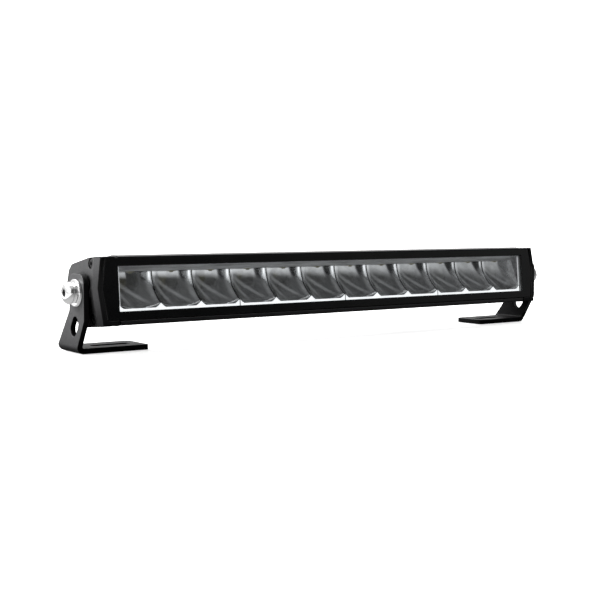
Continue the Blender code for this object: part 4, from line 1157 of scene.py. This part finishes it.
def connector():
    y, z = LEAD_V, -3.0
    body = prism(fillet([(y - 7.5, z - 8.5), (y + 7.5, z - 8.5), (y + 7.5, z + 8.5), (y - 7.5, z + 8.5)], 2.5, 8),
                 "X", 20.0, 52.0)
    boot = tube([Vector((50.0, y, z)), Vector((53.0, y, z)), Vector((61.5, y, z))], [5.2, 5.2, 3.9], 40)
    latch = prism(fillet([(26.0, y + 7.0), (44.0, y + 7.0), (44.0, y + 9.0), (41.0, y + 9.6), (26.0, y + 9.6)],
                         [0, 0, 0.5, 0.5, 0.5], 4), "Z", z - 3.0, z + 3.0)
    body = combine(body, [boot, latch], "UNION")
    tools = [cyl("X", (y, z), 2.9, 54.0, 70.0, 32)]
    for s in (-1, 1):
        tools.append(cyl("X", (y, z + s * 3.6), 1.7, 10.0, 30.0, 24))
    # grip grooves down both broad sides and a parting line near the mouth
    for k in range(5):
        for s in (-1, 1):
            a = z + s * 8.5
            tools.append(box(37.0 + 2.6 * k, 38.2 + 2.6 * k, y - 5.2, y + 5.2, a - 0.5, a + 0.5))
    for s in (-1, 1):
        tools.append(box(24.0, 24.5, y - 9.0, y + 9.0, z + s * 8.5 - 0.3, z + s * 8.5 + 0.3))
    for k in range(3):
        tools.append(box(28.0 + 2.2 * k, 29.0 + 2.2 * k, y + 9.1, y + 12.0, z - 4.0, z + 4.0))
    body = combine(body, tools, "DIFFERENCE")
    return body


def boot_ribs():
    """Strain relief rings behind the plug."""
    y, z = LEAD_V, -3.0
    prof = []
    x = 53.6
    for k in range(4):
        a = x + 1.9 * k
        r = 5.1 - 0.28 * k
        prof += [(a, r - 0.1), (a + 0.15, r + 0.35), (a + 0.75, r + 0.35), (a + 0.9, r - 0.1)]
    prof += [(x + 7.0, 3.4), (x, 3.4)]
    return spin(prof, 56, (y, z))


# ====================================================================== build
lf = bracket()
rt = mirrored(lf)
for name, bm in (("left", lf), ("right", rt)):
    piece("look_bracket_" + name, bm, "foot_" + name, "foot_steel", M["foot_steel"],
          replaces=("bracket_" + name,), place=FEET, bevel=0.45, seg=3)

piece("look_housing", housing(), "lamp", "housing_alloy", M["housing"], replaces=("housing",), sharp=24)
piece("look_bezel", bezel(), "lamp", "bezel", M["bezel"], replaces=("front_bezel",), bevel=0.5, seg=3, sharp=6)
piece("look_lens", lens(), "lamp", "lens", M["lens"], replaces=("lens",), bevel=0.2)
both("end_cap", end_cap(), "end_cap", M["end_cap"], bevel=0.4, seg=3, sharp=12)

for i in range(4):
    piece("look_reflector_%d" % (i + 1), reflector(i), "lamp", "reflector", M["reflector"],
          replaces=("reflector_%d" % (i + 1),), sharp=60)
    piece("look_guide_%d" % (i + 1), light_guide(i), "lamp", "light_guide", M["light_guide"],
          replaces=("light_guide_%d" % (i + 1),), sharp=25)
piece("look_guide_ends", guide_ends(), "lamp", "light_guide", M["guide_end"])
piece("look_trim", trim(), "lamp", "inner_trim", M["inner_trim"], replaces=("inner_trim",), bevel=0.15)

for nm, v, w in SCREW_HOLES:
    both("cap_screw_" + nm, cap_screw(v, w), "black_screw", M["black_screw"], sharp=30)
both("pivot_bolt", pivot_bolt(), "stainless", M["stainless"], sharp=24)
# the socket's faces take the recess material, whose darker colour is painted shade
for side in ("left", "right"):
    me = bpy.data.objects["look_pivot_bolt_" + side].data
    me.materials.append(M["recess"])
    head = (LEG_OUT + 0.3 + 2.0 + 0.3 + 2.6 + 0.3 + HEAD_H) * MM
    inv = LAMP.inverted()
    for poly in me.polygons:
        c = inv @ poly.center
        if math.hypot(c.y, c.z) < SOCKET_AF / math.sqrt(3.0) - 0.2 and abs(c.x) > head / MM - 4.0:
            poly.material_index = 1
both("flat_washer", flat_washer(), "stainless", M["stainless"], sharp=30)
both("spring_washer", spring_washer(), "stainless", M["stainless"], sharp=30)
both("pivot_bush", bush(), "nylon", M["nylon"], sharp=30)

piece("look_vent", vent(), "lamp", "vent", M["vent"], replaces=("breather_vent",), sharp=30)
piece("look_gland", gland(), "lamp", "nylon", M["nylon"], replaces=("cable_gland",), sharp=30)
piece("look_cable", cable(), "lamp", "cable", M["cable"], replaces=("power_cable",), sharp=40)
piece("look_plug", connector(), "lamp", "nylon", M["nylon"], replaces=("plug",), bevel=0.25, sharp=25)
piece("look_plug_boot", boot_ribs(), "lamp", "rubber", M["rubber"], sharp=40)

# CAD nodes that stay as they are, in finished materials
by_slot = {s["node"]: s["material_slot"] for s in frame["record"]["subparts"]}
for name, ob in frame["nodes"].items():
    key = {"housing_alloy": "housing", "foot_steel": "foot_steel"}.get(by_slot[name], by_slot[name])
    if ob.hide_render:
        continue
    ob.data.materials.clear()
    ob.data.materials.append(M["silicone"] if name == "lens_gasket" else M[key])


# ====================================================================== stage
def backdrop():
    """Floor that sweeps up behind into a wall, one smooth sheet."""
    bm = bmesh.new()
    prof = [(-6.0, -0.0004), (0.0, -0.0004), (3.0, -0.0004)]
    for k in range(1, 25):
        t = (math.pi / 2) * k / 24
        prof.append((3.0 + 2.0 * math.sin(t), 2.0 - 2.0 * math.cos(t) - 0.0004))
    prof.append((5.0, 6.0))
    turn = Matrix.Rotation(math.radians(-35.5), 4, "Z")
    rows = []
    for u in (-7.0, 7.0):
        rows.append([bm.verts.new(turn @ Vector((u, y, z))) for y, z in prof])
    for a in range(len(prof) - 1):
        bm.faces.new((rows[0][a], rows[1][a], rows[1][a + 1], rows[0][a + 1]))
    for f in bm.faces:
        f.smooth = True
    me = bpy.data.meshes.new("studio_floor")
    bm.to_mesh(me)
    bm.free()
    ob = bpy.data.objects.new("studio_floor", me)
    bpy.context.scene.collection.objects.link(ob)
    me.materials.append(floor_mat())
    return ob


backdrop()


def softbox(name, at, aim, size, power):
    d = bpy.data.lights.new(name, "AREA")
    d.shape = "RECTANGLE"
    d.size, d.size_y = size
    d.energy = power
    ob = bpy.data.objects.new(name, d)
    bpy.context.scene.collection.objects.link(ob)
    ob.location = at
    ob.rotation_mode = "QUATERNION"
    ob.rotation_quaternion = (Vector(aim) - Vector(at)).to_track_quat("-Z", "Y")
    return ob


softbox("box_left", (-2.0, 0.7, 2.0), (-0.1, 0.0, 0.05), (1.2, 1.0), 16.0)
softbox("box_top", (0.1, 0.5, 2.3), (0.0, 0.0, 0.05), (2.4, 1.6), 26.0)

# white cards that only polished parts mirror
for name, at, aim, size, glow in (("card_floor", (-1.0, -0.2, 0.002), (-1.0, -0.2, 1.0), (1.3, 2.2), 1.1),
                                  ("card_left", (-2.3, -0.7, 0.9), (-0.26, 0.0, 0.05), (3.4, 2.6), 1.1)):
    card = softbox(name, at, aim, size, glow * math.pi * size[0] * size[1])
    card.visible_camera = False
    card.visible_diffuse = False

world = bpy.data.worlds.new("studio")
bpy.context.scene.world = world
world.use_nodes = True
nt = world.node_tree
bg = nt.nodes["Background"]
tc = nt.nodes.new("ShaderNodeTexCoord")
sep = nt.nodes.new("ShaderNodeSeparateXYZ")
nt.links.new(tc.outputs["Generated"], sep.inputs[0])


def w_ramp(src, x0, x1, y0, y1):
    n = nt.nodes.new("ShaderNodeMapRange")
    n.interpolation_type = "SMOOTHSTEP"
    for key, v in (("From Min", x0), ("From Max", x1), ("To Min", y0), ("To Max", y1)):
        n.inputs[key].default_value = v
    nt.links.new(src, n.inputs["Value"])
    return n.outputs["Result"]


def w_math(op, a, b):
    n = nt.nodes.new("ShaderNodeMath")
    n.operation = op
    for i, x in enumerate((a, b)):
        if isinstance(x, (int, float)):
            n.inputs[i].default_value = x
        else:
            nt.links.new(x, n.inputs[i])
    return n.outputs[0]


X, Y, Z = sep.outputs["X"], sep.outputs["Y"], sep.outputs["Z"]
behind = w_ramp(Y, 0.05, 0.6, 0.0, 1.1)
high_left = w_math("MULTIPLY", w_math("MULTIPLY", w_ramp(X, -0.1, -0.55, 0.0, 9.0), w_ramp(Z, 0.3, 0.62, 0.0, 1.0)),
                   w_ramp(Y, -0.15, 0.3, 0.0, 1.0))
low_left = w_math("MULTIPLY", w_ramp(X, -0.35, -0.75, 0.0, 0.12), w_ramp(Z, 0.0, 0.12, 0.0, 1.0))
left = w_math("ADD", high_left, low_left)
rightside = w_ramp(X, 0.45, 0.9, 0.0, 0.3)
front = w_math("MULTIPLY", w_ramp(Y, -0.1, -0.6, 0.0, 0.1), w_ramp(Z, 0.05, 0.16, 0.03, 1.0))
above = w_ramp(Z, 0.55, 0.95, 0.0, 0.8)
total = w_math("ADD", w_math("ADD", w_math("ADD", behind, left), w_math("ADD", rightside, front)), above)
path = nt.nodes.new("ShaderNodeLightPath")
pick = nt.nodes.new("ShaderNodeMix")
pick.data_type = "FLOAT"
nt.links.new(path.outputs["Is Camera Ray"], pick.inputs[0])
nt.links.new(total, pick.inputs[2])
pick.inputs[3].default_value = 1.0
nt.links.new(pick.outputs[0], bg.inputs["Strength"])
bg.inputs["Color"].default_value = (1.0, 1.0, 1.0, 1.0)

# ===================================================================== camera
cam_d = bpy.data.cameras.new("camera")
cam = bpy.data.objects.new("camera", cam_d)
bpy.context.scene.collection.objects.link(cam)
cam_d.sensor_width = 36.0
cam_d.lens = 66.686
cam_d.shift_y = 0.0007
cam_d.clip_start, cam_d.clip_end = 0.02, 60.0
yaw, pitch, roll = math.radians(35.594), math.radians(4.117), math.radians(0.002)
look = Vector((math.sin(yaw) * math.cos(pitch), math.cos(yaw) * math.cos(pitch), -math.sin(pitch)))
right = Vector((math.cos(yaw), -math.sin(yaw), 0.0))
upv = right.cross(look)
right, upv = right * math.cos(roll) + upv * math.sin(roll), upv * math.cos(roll) - right * math.sin(roll)
m3 = Matrix((right, upv, -look)).transposed()
cam.matrix_world = Matrix.Translation((-0.62403, PIVOT.y - 0.81897, AXIS_Z * MM + 0.05721)) @ m3.to_4x4()
bpy.context.scene.camera = cam
bpy.context.scene.view_settings.view_transform = "Standard"
